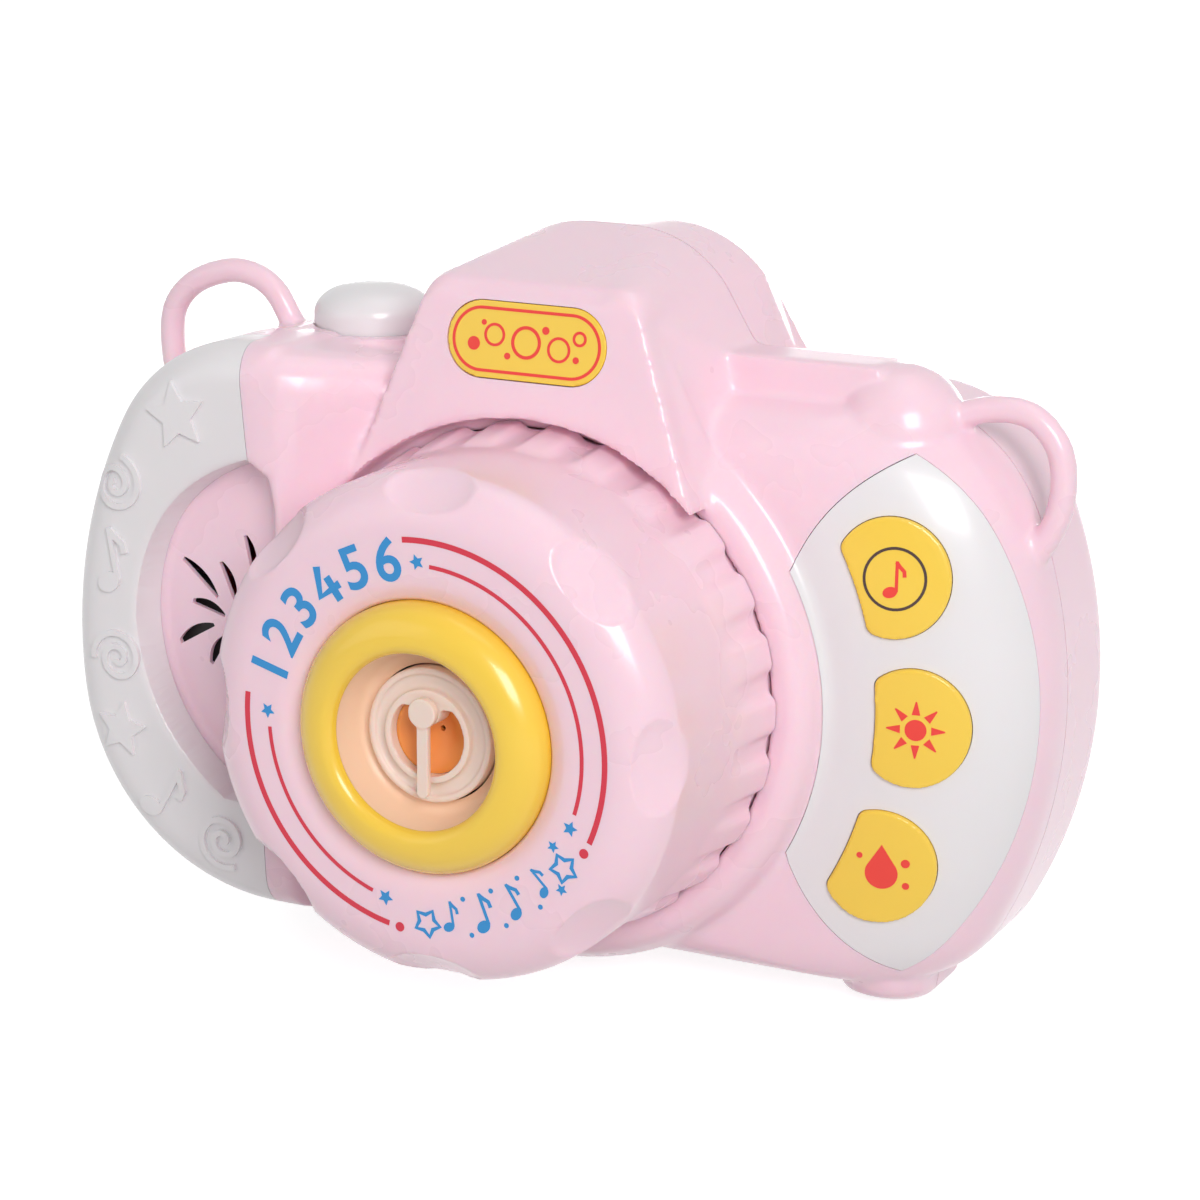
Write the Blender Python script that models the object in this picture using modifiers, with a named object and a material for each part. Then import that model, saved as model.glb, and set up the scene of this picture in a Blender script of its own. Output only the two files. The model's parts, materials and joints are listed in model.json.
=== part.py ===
"""Bubble camera toy: a moulded camera body whose lens holds bubble solution.

Frame: metres, +Z up, origin on the ground under the middle of the body.
The lens faces -Y, and +X is to the right of someone who looks at the lens.
Outlines of the body are (x, z) pairs measured from the lens axis.
"""
from math import acos, asin, atan2, cos, hypot, pi, radians, sin, sqrt

import bmesh
import bpy
from mathutils import Matrix, Vector

MM = 0.001

# Body
AXIS_Z = 57 * MM
BODY_RADIUS = 90 * MM
BODY_TOP = 53 * MM
BODY_BOTTOM = 53 * MM
TOP_CORNER = 30 * MM
BOTTOM_CORNER = 20 * MM
SEAM_Y = 24 * MM
FACE_Y = 2 * MM
REAR_Y = 49 * MM
REAR_ROUND = 8 * MM
SIDE_ROUND = 36 * MM
TOP_ROUND = 13 * MM
BOTTOM_ROUND = 8 * MM
ROUND_POWER = 2.4
WALL = 2.4 * MM
GAP = 0.3 * MM
KEY_GAP = 0.35 * MM
OVERRUN = 4 * MM

# White trim
SKIN = 2.2 * MM
TRIM_EDGE_Y = 11 * MM

# Grip bulge on the left
GRIP_Y = -20 * MM
GRIP_ROUND = 10 * MM
GRIP_INNER_RADIUS = 54.5 * MM
GRIP_INNER_X = 34 * MM
GRIP_RISE = 6 * MM
RECESS_DEPTH = 7 * MM
RECESS_CENTRE = (34 * MM - BODY_RADIUS, 1 * MM)
RECESS_HALF_WIDTH = 15 * MM
RECESS_HALF_HEIGHT = 33 * MM
RECESS_DRAFT = 2.5 * MM
GRIP_TOP_END = BODY_RADIUS - 40 * MM
GRIP_BOTTOM_END = BODY_RADIUS - 44 * MM
SLOT_WIDTH = 1.6 * MM
SLOT_HUB = (35.5 * MM - BODY_RADIUS, 2 * MM)
SLOT_INNER = 3 * MM
SLOT_LENGTHS = (11 * MM, 9 * MM, 10 * MM, 8 * MM, 10 * MM, 7 * MM)
SLOT_START = 92
SLOT_STEP = 27
SLOT_BEND = 1.4 * MM

# Prism hood over the lens
HOOD_Y = -11 * MM
HOOD_LEAN = 0.13
HOOD_TIP = (33.5 * MM, 35 * MM)
HOOD_SHOULDER = (22 * MM, 66 * MM)
HOOD_TOP = 72.5 * MM
HUMP_TOP = 78.3 * MM
HUMP_SIDE = (31 * MM, 58 * MM)
HUMP_SHOULDER = (25 * MM, 69.5 * MM)
HUMP_REAR_Y = 46 * MM
LENS_CLEARANCE = 1.3 * MM
BADGE_LENGTH = 31 * MM
BADGE_HEIGHT = 13.5 * MM
BADGE_DEPTH = 1.5 * MM
BADGE_Z = 61.5 * MM

# Top band, dome and shutter boss
BAND_TOP = 59 * MM
BAND_FRONT_Y = 13.4 * MM
BAND_BACK_Y = 35 * MM
DOME_AT = (BODY_RADIUS - 33 * MM, SEAM_Y, 46.8 * MM)
DOME_RADIUS = 11.6 * MM
SHUTTER_AT = (46 * MM - BODY_RADIUS, 16 * MM)
BOSS_RADIUS = 14.5 * MM
BOSS_TOP = 57 * MM
BOSS_DEPTH = 15 * MM
BOSS_FLOOR = 3 * MM
BOSS_STEP = 1 * MM
SHUTTER_RADIUS = 11.2 * MM
SHUTTER_TOP = 65.2 * MM
SHUTTER_DOME = 5.6 * MM
SHUTTER_SKIRT = 8.6 * MM
SHUTTER_TRAVEL = 4 * MM
STEM_RADIUS = 3 * MM
SPRING_RADIUS = 5.2 * MM

# Feet
FOOT_X = BODY_RADIUS - 31 * MM
FOOT_WIDTH = 14 * MM
FOOT_FRONT_Y = 10 * MM
FOOT_BACK_Y = 42 * MM

# Strap loops, as distances outside the body's ends and heights
RIGHT_LOOP_Y = 20 * MM
LEFT_LOOP_Y = 16 * MM
LOOP_ROD = 2.3 * MM
RIGHT_LOOP = ((-27, 45), (-22.5, 49.5), (-15, 52.3), (-7.5, 52), (-2.4, 47.5), (-0.8, 41), (-2, 34),
              (-5.5, 28), (-10, 23))
LEFT_LOOP = ((-33, 48), (-29.2, 55.2), (-23, 62.6), (-16.5, 65.2), (-8.5, 62.8), (-2.8, 58),
             (-0.9, 50), (-1.6, 41), (-5, 33), (-10, 26))

# Side panel and keys
PANEL_INNER_RADIUS = 53.6 * MM
PANEL_NEAR = (47.5 * MM, 27.5 * MM)
PANEL_FAR = (BODY_RADIUS - 22 * MM, 45 * MM)
PANEL_BULGE = 2.6 * MM
PANEL_MIDDLE_Z = -1 * MM
KEY_MARGIN = 21.4 * MM
KEY_RING = BODY_RADIUS - KEY_MARGIN
KEY_STEP = 22
KEY_RADIUS = 10.6 * MM
KEY_INNER = 6.8 * MM
KEY_PROUD = 0.8 * MM
KEY_THICKNESS = 1.7 * MM
KEY_TRAVEL = 1.2 * MM
KEY_TILT = 16
KEY_STEM = 2.4 * MM
KEY_BOARD_Y = 14 * MM
BOARD_THICKNESS = 1.4 * MM

# Lens group, turned about the lens axis
COLLAR_RADIUS = 52.8 * MM
COLLAR_BORE = 48 * MM
COLLAR_Y = -2.2 * MM
LENS_RADIUS = 46.8 * MM
LENS_BACK_Y = -4.5 * MM
LENS_NECK = 45.2 * MM
LENS_FACE_Y = -44.6 * MM
LENS_SKIN = 2.2 * MM
LENS_SCALLOPS = 26
SCALLOP_DEPTH = 1.5 * MM
SCALLOP_LENGTH = 15 * MM
DIMPLES = 8
DIMPLE_DEPTH = 1.3 * MM
LENS_MOUTH = 23.8 * MM
BEZEL_RADIUS = 23.4 * MM
BEZEL_BORE = 15.6 * MM
BEZEL_FRONT_Y = -49 * MM
BEZEL_BACK_Y = -39.5 * MM
CUP_BACK_Y = -33 * MM
CUP_WALL = 1.2 * MM
TANK_INNER = 13.4 * MM
TANK_OUTER = 33 * MM
TANK_FRONT_Y = -37 * MM
TANK_BACK_Y = -12 * MM
TANK_WALL = 1.5 * MM
TANK_FLANGE = 42 * MM
SEAL_ROD = 0.8 * MM

# Air path
DUCT_RADIUS = 10.6 * MM
DUCT_WALL = 1.5 * MM
DUCT_FRONT_Y = -36 * MM
DUCT_BACK_Y = 7 * MM
DUCT_FLANGE = 12.4 * MM
NOZZLE_RADIUS = 11.4 * MM
NOZZLE_BORE = 7 * MM
NOZZLE_FRONT_Y = -43 * MM
NOZZLE_WEB = 1.2 * MM
WIPER_RISE = 4.5 * MM
WIPER_LENGTH = 15 * MM
WIPER_WIDTH = 2.2 * MM
WIPER_THICKNESS = 1.6 * MM
WIPER_HUB = 2.6 * MM
WIPER_ROD = 1 * MM
RUN_GAP = 0.3 * MM

# Blower, motor, gears and pump
MOTOR_X = 36 * MM
HOUSING_RADIUS = 22.5 * MM
HOUSING_FRONT_Y = 7.4 * MM
HOUSING_BACK_Y = 18.6 * MM
HOUSING_WALL = 1.4 * MM
CHUTE_HALF = 11.5 * MM
FAN_RADIUS = 18 * MM
FAN_BLADES = 8
FAN_DISC = 1.2 * MM
FAN_WIDTH = 6 * MM
SHAFT_ROD = 1 * MM
HUB_RADIUS = 3 * MM
GEAR_MODULE = 0.8 * MM
PINION_TEETH = 9
GEAR_TEETH = 46
GEAR_FRONT_Y = 21.5 * MM
GEAR_WIDTH = 2.5 * MM
GEAR_ANGLE = 216
GEAR_SHAFT = 1.5 * MM
CRANK_RADIUS = 9 * MM
CRANK_PIN = 1.2 * MM
CRANK_PIN_LENGTH = 0.6 * MM
ROCKER_LENGTH = 13 * MM
ROCKER_WIDTH = 4 * MM
ROCKER_THICKNESS = 1.4 * MM
PLATE_GAP = 0.6 * MM
PLATE_THICKNESS = 1.5 * MM
MOTOR_RADIUS = 10 * MM
MOTOR_FLAT = 7.6 * MM
MOTOR_LENGTH = 18 * MM
PUMP_RADIUS = 10.6 * MM
PUMP_DEPTH = 8.5 * MM
PUMP_WALL = 1.4 * MM
ROTOR_RADIUS = 6.6 * MM
TUBE_ROD = 1.3 * MM

# Power and sound
CELL_RADIUS = 7.1 * MM
CELL_LENGTH = 49 * MM
CELL_NUB = 2.6 * MM
CELL_NUB_LENGTH = 1.4 * MM
CELL_PITCH = 15.2 * MM
CELLS = 3
TRAY_RIGHT_X = -17.5 * MM
TRAY_WALL = 1.5 * MM
TRAY_FLOOR_Y = 28.5 * MM
CONTACT_ROOM = 4 * MM
CONTACT_PLATE = 0.5 * MM
SPRING_WIRE = 0.35 * MM
DOOR_THICKNESS = 2 * MM
DOOR_LIP = 2 * MM
DOOR_GAP = 0.4 * MM
MAIN_BOARD_Z = 29 * MM
MAIN_BOARD = (22 * MM - BODY_RADIUS, -22 * MM)
MAIN_BOARD_Y = (6 * MM, 26 * MM)
SHELF_WIDTH = 4 * MM
SPEAKER_RADIUS = 12 * MM
SPEAKER_DEPTH = 8 * MM
SPEAKER_AT = (19 * MM - BODY_RADIUS, 1 * MM)

# Screws
SCREW_ROD = 1.3 * MM
SCREW_HEAD = 2.8 * MM
SCREW_HEAD_HEIGHT = 1.8 * MM
SCREW_BOSS = 4.2 * MM
SCREW_MARGIN = 6.6 * MM
SCREW_RING = BODY_RADIUS - SCREW_MARGIN
SCREW_ANGLE = 22
SCREW_LOW_X = 30 * MM
BOSS_LENGTH = 7.5 * MM

COLOURS = {
    "pink": ((0.955, 0.640, 0.745), 0.28, 0.0),
    "white": ((0.86, 0.86, 0.87), 0.30, 0.0),
    "yellow": ((0.930, 0.610, 0.050), 0.30, 0.0),
    "peach": ((0.930, 0.560, 0.400), 0.40, 0.0),
    "orange": ((0.840, 0.260, 0.070), 0.42, 0.0),
    "natural": ((0.930, 0.800, 0.680), 0.35, 0.0),
    "grey": ((0.35, 0.36, 0.38), 0.50, 0.0),
    "black": ((0.03, 0.03, 0.03), 0.50, 0.0),
    "green": ((0.03, 0.22, 0.10), 0.45, 0.0),
    "steel": ((0.60, 0.60, 0.61), 0.30, 1.0),
    "rubber": ((0.10, 0.10, 0.10), 0.80, 0.0),
    "clear": ((0.80, 0.85, 0.85), 0.30, 0.0),
}

for old in list(bpy.data.objects):
    bpy.data.objects.remove(old)

PARTS = bpy.data.collections.new("bubble_camera")
CUTTERS = bpy.data.collections.new("cutters")
for group in (PARTS, CUTTERS):
    bpy.context.scene.collection.children.link(group)


# Materials and modelling helpers
def material(name):
    """Return the shared Principled material of one moulding colour."""
    if name in bpy.data.materials:
        return bpy.data.materials[name]
    colour, roughness, metallic = COLOURS[name]
    made = bpy.data.materials.new(name)
    made.use_nodes = True
    shader = made.node_tree.nodes["Principled BSDF"]
    shader.inputs["Base Color"].default_value = (*colour, 1)
    shader.inputs["Roughness"].default_value = roughness
    shader.inputs["Metallic"].default_value = metallic
    made.diffuse_color = (*colour, 1)
    return made


def add_mesh(name, mesh, matrix=None):
    """Link a mesh as a new object among the cutters."""
    made = bpy.data.objects.new(name, mesh)
    made.matrix_world = matrix or Matrix()
    made.hide_render = True
    made.display_type = "WIRE"
    CUTTERS.objects.link(made)
    return made


def from_bmesh(name, bm, matrix=None):
    bmesh.ops.recalc_face_normals(bm, faces=bm.faces)
    mesh = bpy.data.meshes.new(name)
    bm.to_mesh(mesh)
    bm.free()
    return add_mesh(name, mesh, matrix)


def part(made, colour, parent=None):
    """Turn a modelled object into a named piece of the toy."""
    CUTTERS.objects.unlink(made)
    PARTS.objects.link(made)
    made.hide_render = False
    made.display_type = "TEXTURED"
    made.data.materials.clear()
    made.data.materials.append(material(colour))
    made.data.shade_smooth()
    made.data.set_sharp_from_angle(angle=radians(35))
    if parent:
        world = made.matrix_world.copy()
        made.parent = parent
        made.matrix_parent_inverse = Matrix.Translation(-parent.location)
        made.matrix_basis = world
    return made


def pivot(name, location):
    """Add an empty on a joint's axis, the parent of what moves with it."""
    made = bpy.data.objects.new(name, None)
    made.location = location
    made.empty_display_size = 5 * MM
    PARTS.objects.link(made)
    return made


def boolean(target, tool, operation):
    change = target.modifiers.new(tool.name, "BOOLEAN")
    change.object = tool
    change.operation = operation
    change.solver = "EXACT"
    return target


def cut(target, *tools):
    for tool in tools:
        boolean(target, tool, "DIFFERENCE")
    return target


def join(target, *tools):
    for tool in tools:
        boolean(target, tool, "UNION")
    return target


def keep(target, *tools):
    for tool in tools:
        boolean(target, tool, "INTERSECT")
    return target


def at(x, y, z):
    """Place a point by its height above the lens axis."""
    return Vector((x, y, z + AXIS_Z))


def loft(name, rings):
    """Skin a closed solid over rings that have one point count."""
    bm = bmesh.new()
    rows = [[bm.verts.new(point) for point in ring] for ring in rings]
    count = len(rows[0])
    for low, high in zip(rows, rows[1:]):
        for i in range(count):
            j = (i + 1) % count
            bm.faces.new((low[i], low[j], high[j], high[i]))
    bmesh.ops.triangulate(bm, faces=bm.faces)
    bm.faces.new(rows[0])
    bm.faces.new(rows[-1])
    return from_bmesh(name, bm)


def slab(name, outline, front, back):
    """Extrude a flat (x, z) outline between two depths along Y."""
    curve = bpy.data.curves.new(name, "CURVE")
    curve.dimensions = "2D"
    curve.fill_mode = "BOTH"
    curve.extrude = (back - front) / 2
    spline = curve.splines.new("POLY")
    spline.points.add(len(outline) - 1)
    for point, (x, z) in zip(spline.points, outline):
        point.co = (x, z, 0, 1)
    spline.use_cyclic_u = True
    place = Matrix.Translation(at(0, (front + back) / 2, 0)) @ Matrix.Rotation(pi / 2, 4, "X")
    return mesh_of(name, curve, place)


def rod(name, points, radius, sides=2):
    """Sweep a round rod along points."""
    curve = bpy.data.curves.new(name, "CURVE")
    curve.dimensions = "3D"
    curve.bevel_depth = radius
    curve.bevel_resolution = sides
    curve.use_fill_caps = True
    spline = curve.splines.new("POLY")
    spline.points.add(len(points) - 1)
    for point, place in zip(spline.points, points):
        point.co = (*place, 1)
    return mesh_of(name, curve, Matrix())


def mesh_of(name, curve, place):
    """Convert a curve to a closed mesh object."""
    holder = bpy.data.objects.new(name + "_curve", curve)
    CUTTERS.objects.link(holder)
    bpy.context.view_layer.update()
    mesh = bpy.data.meshes.new_from_object(holder.evaluated_get(bpy.context.evaluated_depsgraph_get()))
    bpy.data.objects.remove(holder)
    bm = bmesh.new()
    bm.from_mesh(mesh)
    bmesh.ops.remove_doubles(bm, verts=bm.verts, dist=1e-6)
    bpy.data.meshes.remove(mesh)
    return from_bmesh(name, bm, place)


def turned(name, profile, steps=48, x=0, z=0):
    """Turn a profile of (radius, y) pairs about an axis along Y."""
    bm = bmesh.new()
    points = [bm.verts.new((radius, 0, -y)) for radius, y in profile]
    closed = points if min(radius for radius, _ in profile) > 0 else points[:-1]
    for i in range(len(closed)):
        bm.edges.new((points[i], points[(i + 1) % len(points)]))
    mesh = bpy.data.meshes.new(name)
    bm.to_mesh(mesh)
    bm.free()
    made = add_mesh(name, mesh, Matrix.Translation(at(x, 0, z)) @ Matrix.Rotation(pi / 2, 4, "X"))
    screw = made.modifiers.new("turn", "SCREW")
    screw.axis = "Z"
    screw.steps = steps
    screw.render_steps = steps
    screw.use_merge_vertices = True
    screw.merge_threshold = 1e-6
    return made


def cylinder(name, radius, start, end, sides=24, top_radius=None):
    """Make a round bar or cone between two points."""
    start, end = Vector(start), Vector(end)
    bm = bmesh.new()
    bmesh.ops.create_cone(bm, cap_ends=True, segments=sides, radius1=radius,
                          radius2=top_radius if top_radius is not None else radius,
                          depth=(end - start).length)
    turn = Vector((0, 0, 1)).rotation_difference(end - start).to_matrix().to_4x4()
    return from_bmesh(name, bm, Matrix.Translation((start + end) / 2) @ turn)


def block(name, low, high):
    """Make a box between two corners."""
    low, high = Vector(low), Vector(high)
    bm = bmesh.new()
    bmesh.ops.create_cube(bm, size=1)
    bmesh.ops.scale(bm, vec=high - low, verts=bm.verts)
    return from_bmesh(name, bm, Matrix.Translation((low + high) / 2))


def arc(centre, radius, first, last, count):
    """Points on a circle between two angles in radians, both ends included."""
    step = (last - first) / (count - 1)
    return [(centre[0] + radius * cos(first + step * i), centre[1] + radius * sin(first + step * i))
            for i in range(count)]


def bow(start, end, rise, count):
    """Points on a circular arc from start to end that rises to its left side."""
    span = hypot(end[0] - start[0], end[1] - start[1])
    along = ((end[0] - start[0]) / span, (end[1] - start[1]) / span)
    points = []
    for i in range(count):
        t = i / (count - 1)
        lift = 4 * rise * t * (1 - t)
        points.append((start[0] + along[0] * span * t - along[1] * lift,
                       start[1] + along[1] * span * t + along[0] * lift))
    return points


def stadium(length, height, count=9):
    straight = (length - height) / 2
    return (arc((straight, 0), height / 2, -pi / 2, pi / 2, count)
            + arc((-straight, 0), height / 2, pi / 2, 3 * pi / 2, count))


# Outer form of the body
def body_half(radius, top, bottom, tighten=0):
    """Right half of the body's outline, from the bottom to the top."""
    low_round = max(BOTTOM_CORNER - tighten, OVERRUN)
    top_round = max(TOP_CORNER - tighten, OVERRUN)
    low = (sqrt((radius - low_round) ** 2 - (bottom - low_round) ** 2), low_round - bottom)
    high = (sqrt((radius - top_round) ** 2 - (top - top_round) ** 2), top - top_round)
    low_angle = atan2(low[1], low[0])
    high_angle = atan2(high[1], high[0])
    return (arc(low, low_round, -pi / 2, low_angle, 5)[:-1]
            + arc((0, 0), radius, low_angle, high_angle, 8)
            + arc(high, top_round, high_angle, pi / 2, 6)[1:])


def body_outline(inset, top_inset, bottom_inset):
    half = body_half(BODY_RADIUS - inset, BODY_TOP - top_inset, BODY_BOTTOM - bottom_inset)
    return half + [(-x, z) for x, z in reversed(half)]


def round_off(share):
    """Superellipse: the inset and the depth, as shares, at a step of the rounding."""
    angle = share * pi / 2
    return 1 - cos(angle) ** (2 / ROUND_POWER), sin(angle) ** (2 / ROUND_POWER)


def face_depth(radius):
    """Depth of the body's front surface, at mid height, at a distance from the lens axis."""
    drawn = (BODY_RADIUS - radius) / SIDE_ROUND
    angle = acos((1 - drawn) ** (ROUND_POWER / 2))
    return SEAM_Y - (SEAM_Y - FACE_Y) * sin(angle) ** (2 / ROUND_POWER)


def body_form(name, inset):
    """The case without hood and grip, drawn in on every side by an inset."""
    rings = []
    depth = SEAM_Y - FACE_Y - inset
    for share in (1, 0.8, 0.6, 0.4, 0.2, 0):
        drawn, forward = round_off(share)
        y = SEAM_Y - depth * forward
        outline = body_outline(inset + SIDE_ROUND * drawn, inset + TOP_ROUND * drawn,
                               inset + BOTTOM_ROUND * drawn)
        rings.append([at(x, y, z) for x, z in outline])
    for share in (0, 0.5, 1):
        drawn = inset + REAR_ROUND * (1 - cos(share * pi / 2))
        y = REAR_Y - inset - REAR_ROUND * (1 - sin(share * pi / 2))
        rings.append([at(x, y, z) for x, z in body_outline(drawn, drawn, drawn)])
    return loft(name, rings)


def grip_outline(outer, inner, bottom_inset):
    """Crescent between the lens and the left end of the body."""
    half = [(-x, z) for x, z in body_half(BODY_RADIUS - outer, BODY_TOP - outer,
                                          BODY_BOTTOM - outer - bottom_inset, outer)]
    radius = GRIP_INNER_RADIUS + inner
    reach = sqrt(radius ** 2 - (GRIP_INNER_X + inner) ** 2)
    top = BODY_TOP - outer
    bottom = BODY_BOTTOM - outer - bottom_inset
    first = pi - asin(min(reach, top - OVERRUN) / radius)
    last = pi + asin(min(reach, bottom - OVERRUN) / radius)
    curve = arc((0, 0), radius, first, last, 11)
    return half + [(curve[0][0], top)] + curve + [(curve[-1][0], -bottom)]


def grip_form(name, inset, inner_inset):
    """The forward bulge on the left, drawn in by an inset."""
    rings = []
    shy = 0.2 * MM
    back = SEAM_Y - OVERRUN - inset
    start = GRIP_Y + GRIP_ROUND
    levels = [(back, 0, 0)]
    for share in (0, 0.4, 0.7, 1):
        turn = share * pi / 2
        levels.append((start - (GRIP_ROUND - inset) * sin(turn), 1 - cos(turn), 1))
    for y, drawn, rise in levels:
        outline = grip_outline(shy + inset + GRIP_ROUND * drawn, inner_inset + GRIP_ROUND * drawn / 2,
                               GRIP_RISE * rise)
        rings.append([at(x, y, z) for x, z in outline])
    return loft(name, rings)


def hump_section(side, shoulder, top, base, crown):
    """Half of the hood's section as points from the base up to the middle."""
    corner = (shoulder[0] - crown, top)
    points = [(side[0] + (side[1] - base) * 0.12, base), side]
    points += bow(shoulder, corner, -2.5 * MM, 4)
    return points


def hump_form(name, inset):
    """Prism hood and hump, from the lens arch to the back."""
    base = 20 * MM
    rear = HUMP_REAR_Y - inset
    wide, high = HUMP_SHOULDER
    levels = (
        (HOOD_Y + inset, HOOD_LEAN, HOOD_TIP, HOOD_SHOULDER, HOOD_TOP - 4 * MM, 9 * MM),
        (HOOD_Y + 1.6 * MM + inset, HOOD_LEAN, HOOD_TIP, HOOD_SHOULDER, HOOD_TOP - 1 * MM, 8 * MM),
        (HOOD_Y + 5 * MM + inset, HOOD_LEAN, HOOD_TIP, HOOD_SHOULDER, HOOD_TOP, 7 * MM),
        (SEAM_Y, 0, HUMP_SIDE, (wide - 2 * MM, high), HUMP_TOP, wide - 6 * MM),
        (rear - 9 * MM, 0, HUMP_SIDE, HUMP_SHOULDER, HUMP_TOP - 0.4 * MM, wide - 5 * MM),
        (rear - 3 * MM, 0, HUMP_SIDE, (wide - 1 * MM, high - 1.5 * MM), HUMP_TOP - 2.6 * MM, wide - 5 * MM),
        (rear, 0, HUMP_SIDE, (wide - 4.5 * MM, high - 6 * MM), HUMP_TOP - 8 * MM, wide - 9 * MM),
    )
    rings = []
    for y, lean, side, shoulder, top, crown in levels:
        shoulder = (shoulder[0] - inset, shoulder[1] - inset)
        half = hump_section((side[0] - inset, side[1]), shoulder, top - inset, base, crown)
        outline = half + [(-x, z) for x, z in reversed(half)]
        rings.append([at(x, y + lean * (z - HOOD_TIP[1]), z) for x, z in outline])
    return loft(name, rings)


def panel_outline(grow):
    """Leaf of the white side panel, open past the body's edge."""
    mid = PANEL_MIDDLE_Z
    far = BODY_RADIUS + 2 * OVERRUN
    near = (PANEL_NEAR[0] - grow, PANEL_NEAR[1] + grow / 2)
    tip = (PANEL_FAR[0] - grow, PANEL_FAR[1] + grow)
    upper = bow(near, tip, PANEL_BULGE, 6)
    radius = PANEL_INNER_RADIUS - grow
    swing = atan2(near[1], near[0])
    inner = arc((0, 0), hypot(*near), -swing, swing, 9)
    inner = [(x * radius / hypot(*near), z * radius / hypot(*near)) for x, z in inner[1:-1]]
    points = upper + [(far, tip[1]), (far, -tip[1])] + [(x, -z) for x, z in reversed(upper)] + inner
    return [(x, z + mid) for x, z in points]


def recess_outline(grow):
    """Rounded opening inside the white grip, run out towards the lens."""
    x, z = RECESS_CENTRE
    wide = RECESS_HALF_WIDTH + grow
    tall = RECESS_HALF_HEIGHT + grow
    points = []
    for i in range(17):
        turn = pi / 2 + pi * i / 16
        points.append((x + wide * cos(turn), z + tall * sin(turn)))
    run = OVERRUN + 12 * MM
    return points + [(x + run, z - tall + 4 * MM), (x + run, z + tall - 4 * MM)]


def recess_tool(name, grow, floor):
    """Sloped pocket cutter from in front of the grip down to a floor."""
    mouth = GRIP_Y - OVERRUN
    slope = RECESS_DRAFT / RECESS_DEPTH
    rings = []
    for y in (mouth, floor):
        wider = grow + slope * (GRIP_Y + RECESS_DEPTH - y)
        rings.append([at(x, y, z) for x, z in recess_outline(wider)])
    return loft(name, rings)


def grip_end_outline(grow):
    """Front view of the white grip: everything left of its two ends."""
    far = -BODY_RADIUS - 2 * OVERRUN
    high = BODY_TOP + 3 * OVERRUN
    top, bottom = -GRIP_TOP_END + grow, -GRIP_BOTTOM_END + grow
    lean = 3 * MM
    return [(far, high), (far, -high), (bottom, -high), (bottom - lean, 0), (top - lean, 0), (top, high)]


# Form tools shared by the shells and the trim
under_panel = body_form("under_panel", SKIN + GAP)
under_panel_wall = body_form("under_panel_wall", SKIN + GAP + WALL)
panel_back = body_form("panel_back", SKIN)
grip_outer = grip_form("grip_outer", 0, 0)
hump_outer = hump_form("hump_outer", 0)
hump_inner = hump_form("hump_inner", WALL)
RECESS_FLOOR_Y = GRIP_Y + RECESS_DEPTH
FAR = BODY_RADIUS + 8 * OVERRUN
WELL_RADIUS = LENS_RADIUS + LENS_CLEARANCE


def half_space(name, front, back):
    return block(name, (-FAR, front, -FAR), (FAR, back, AXIS_Z + FAR))


lens_well = cylinder("lens_well", WELL_RADIUS, at(0, -FAR, 0), at(0, FACE_Y + WALL / 4, 0), 52)
well_wall = cylinder("well_wall", COLLAR_RADIUS + WALL, at(0, -FAR, 0), at(0, FACE_Y + 1.4 * WALL, 0), 40)


def dome_form(name, grow):
    bm = bmesh.new()
    bmesh.ops.create_uvsphere(bm, u_segments=20, v_segments=10, radius=DOME_RADIUS + grow)
    return from_bmesh(name, bm, Matrix.Translation(at(*DOME_AT)))


def case_outline_tools():
    """Small forms that stand on the body: band, dome, boss, feet and collar."""
    band = block("band", at(0, BAND_FRONT_Y, BODY_TOP - 6 * MM), at(DOME_AT[0], BAND_BACK_Y, BAND_TOP))
    soften(band, 1.2 * MM, 1)
    dome = dome_form("dome", 0)
    x, y = SHUTTER_AT
    boss = cylinder("boss", BOSS_RADIUS, at(x, y, BOSS_TOP - BOSS_DEPTH), at(x, y, BOSS_TOP), 28)
    tools = [band, dome, boss]
    for side in (-1, 1):
        length = FOOT_BACK_Y - FOOT_FRONT_Y
        bm = bmesh.new()
        outline = stadium(length, FOOT_WIDTH, 7)
        face = bm.faces.new([bm.verts.new((z, x, 0)) for x, z in outline])
        raised = bmesh.ops.extrude_face_region(bm, geom=[face])["geom"]
        lift = [v for v in raised if isinstance(v, bmesh.types.BMVert)]
        bmesh.ops.translate(bm, vec=(0, 0, AXIS_Z - BODY_BOTTOM + 1.2 * MM), verts=lift)
        place = Matrix.Translation((side * FOOT_X, (FOOT_FRONT_Y + FOOT_BACK_Y) / 2, 0))
        tools.append(from_bmesh("foot_%d" % side, bm, place))
    return tools


def soften(target, width, segments=2):
    """Round a piece's edges with a Bevel modifier."""
    bevel = target.modifiers.new("soften", "BEVEL")
    bevel.width = width
    bevel.segments = segments
    bevel.limit_method = "ANGLE"
    bevel.angle_limit = radians(40)


# Outer skin of the shells, then the hollow inside
def case_form(name):
    """Body with hood, band, dome, boss and feet, before it is split at the seam."""
    made = body_form(name, 0)
    return join(made, hump_outer, *case_outline_tools())


panel_pad = slab("panel_pad", panel_outline(3 * MM), FACE_Y - OVERRUN, TRIM_EDGE_Y + 5 * MM)
cut(panel_pad, under_panel_wall)
grip_hollow = grip_form("grip_hollow", SKIN + GAP + WALL, WALL)
cut(grip_hollow, recess_tool("recess_wall", SKIN + GAP + WALL, RECESS_FLOOR_Y + GAP + WALL))
hollow = body_form("hollow", WALL)
cut(hollow, panel_pad)
join(hollow, grip_hollow, cut(hump_inner, well_wall))


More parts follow.
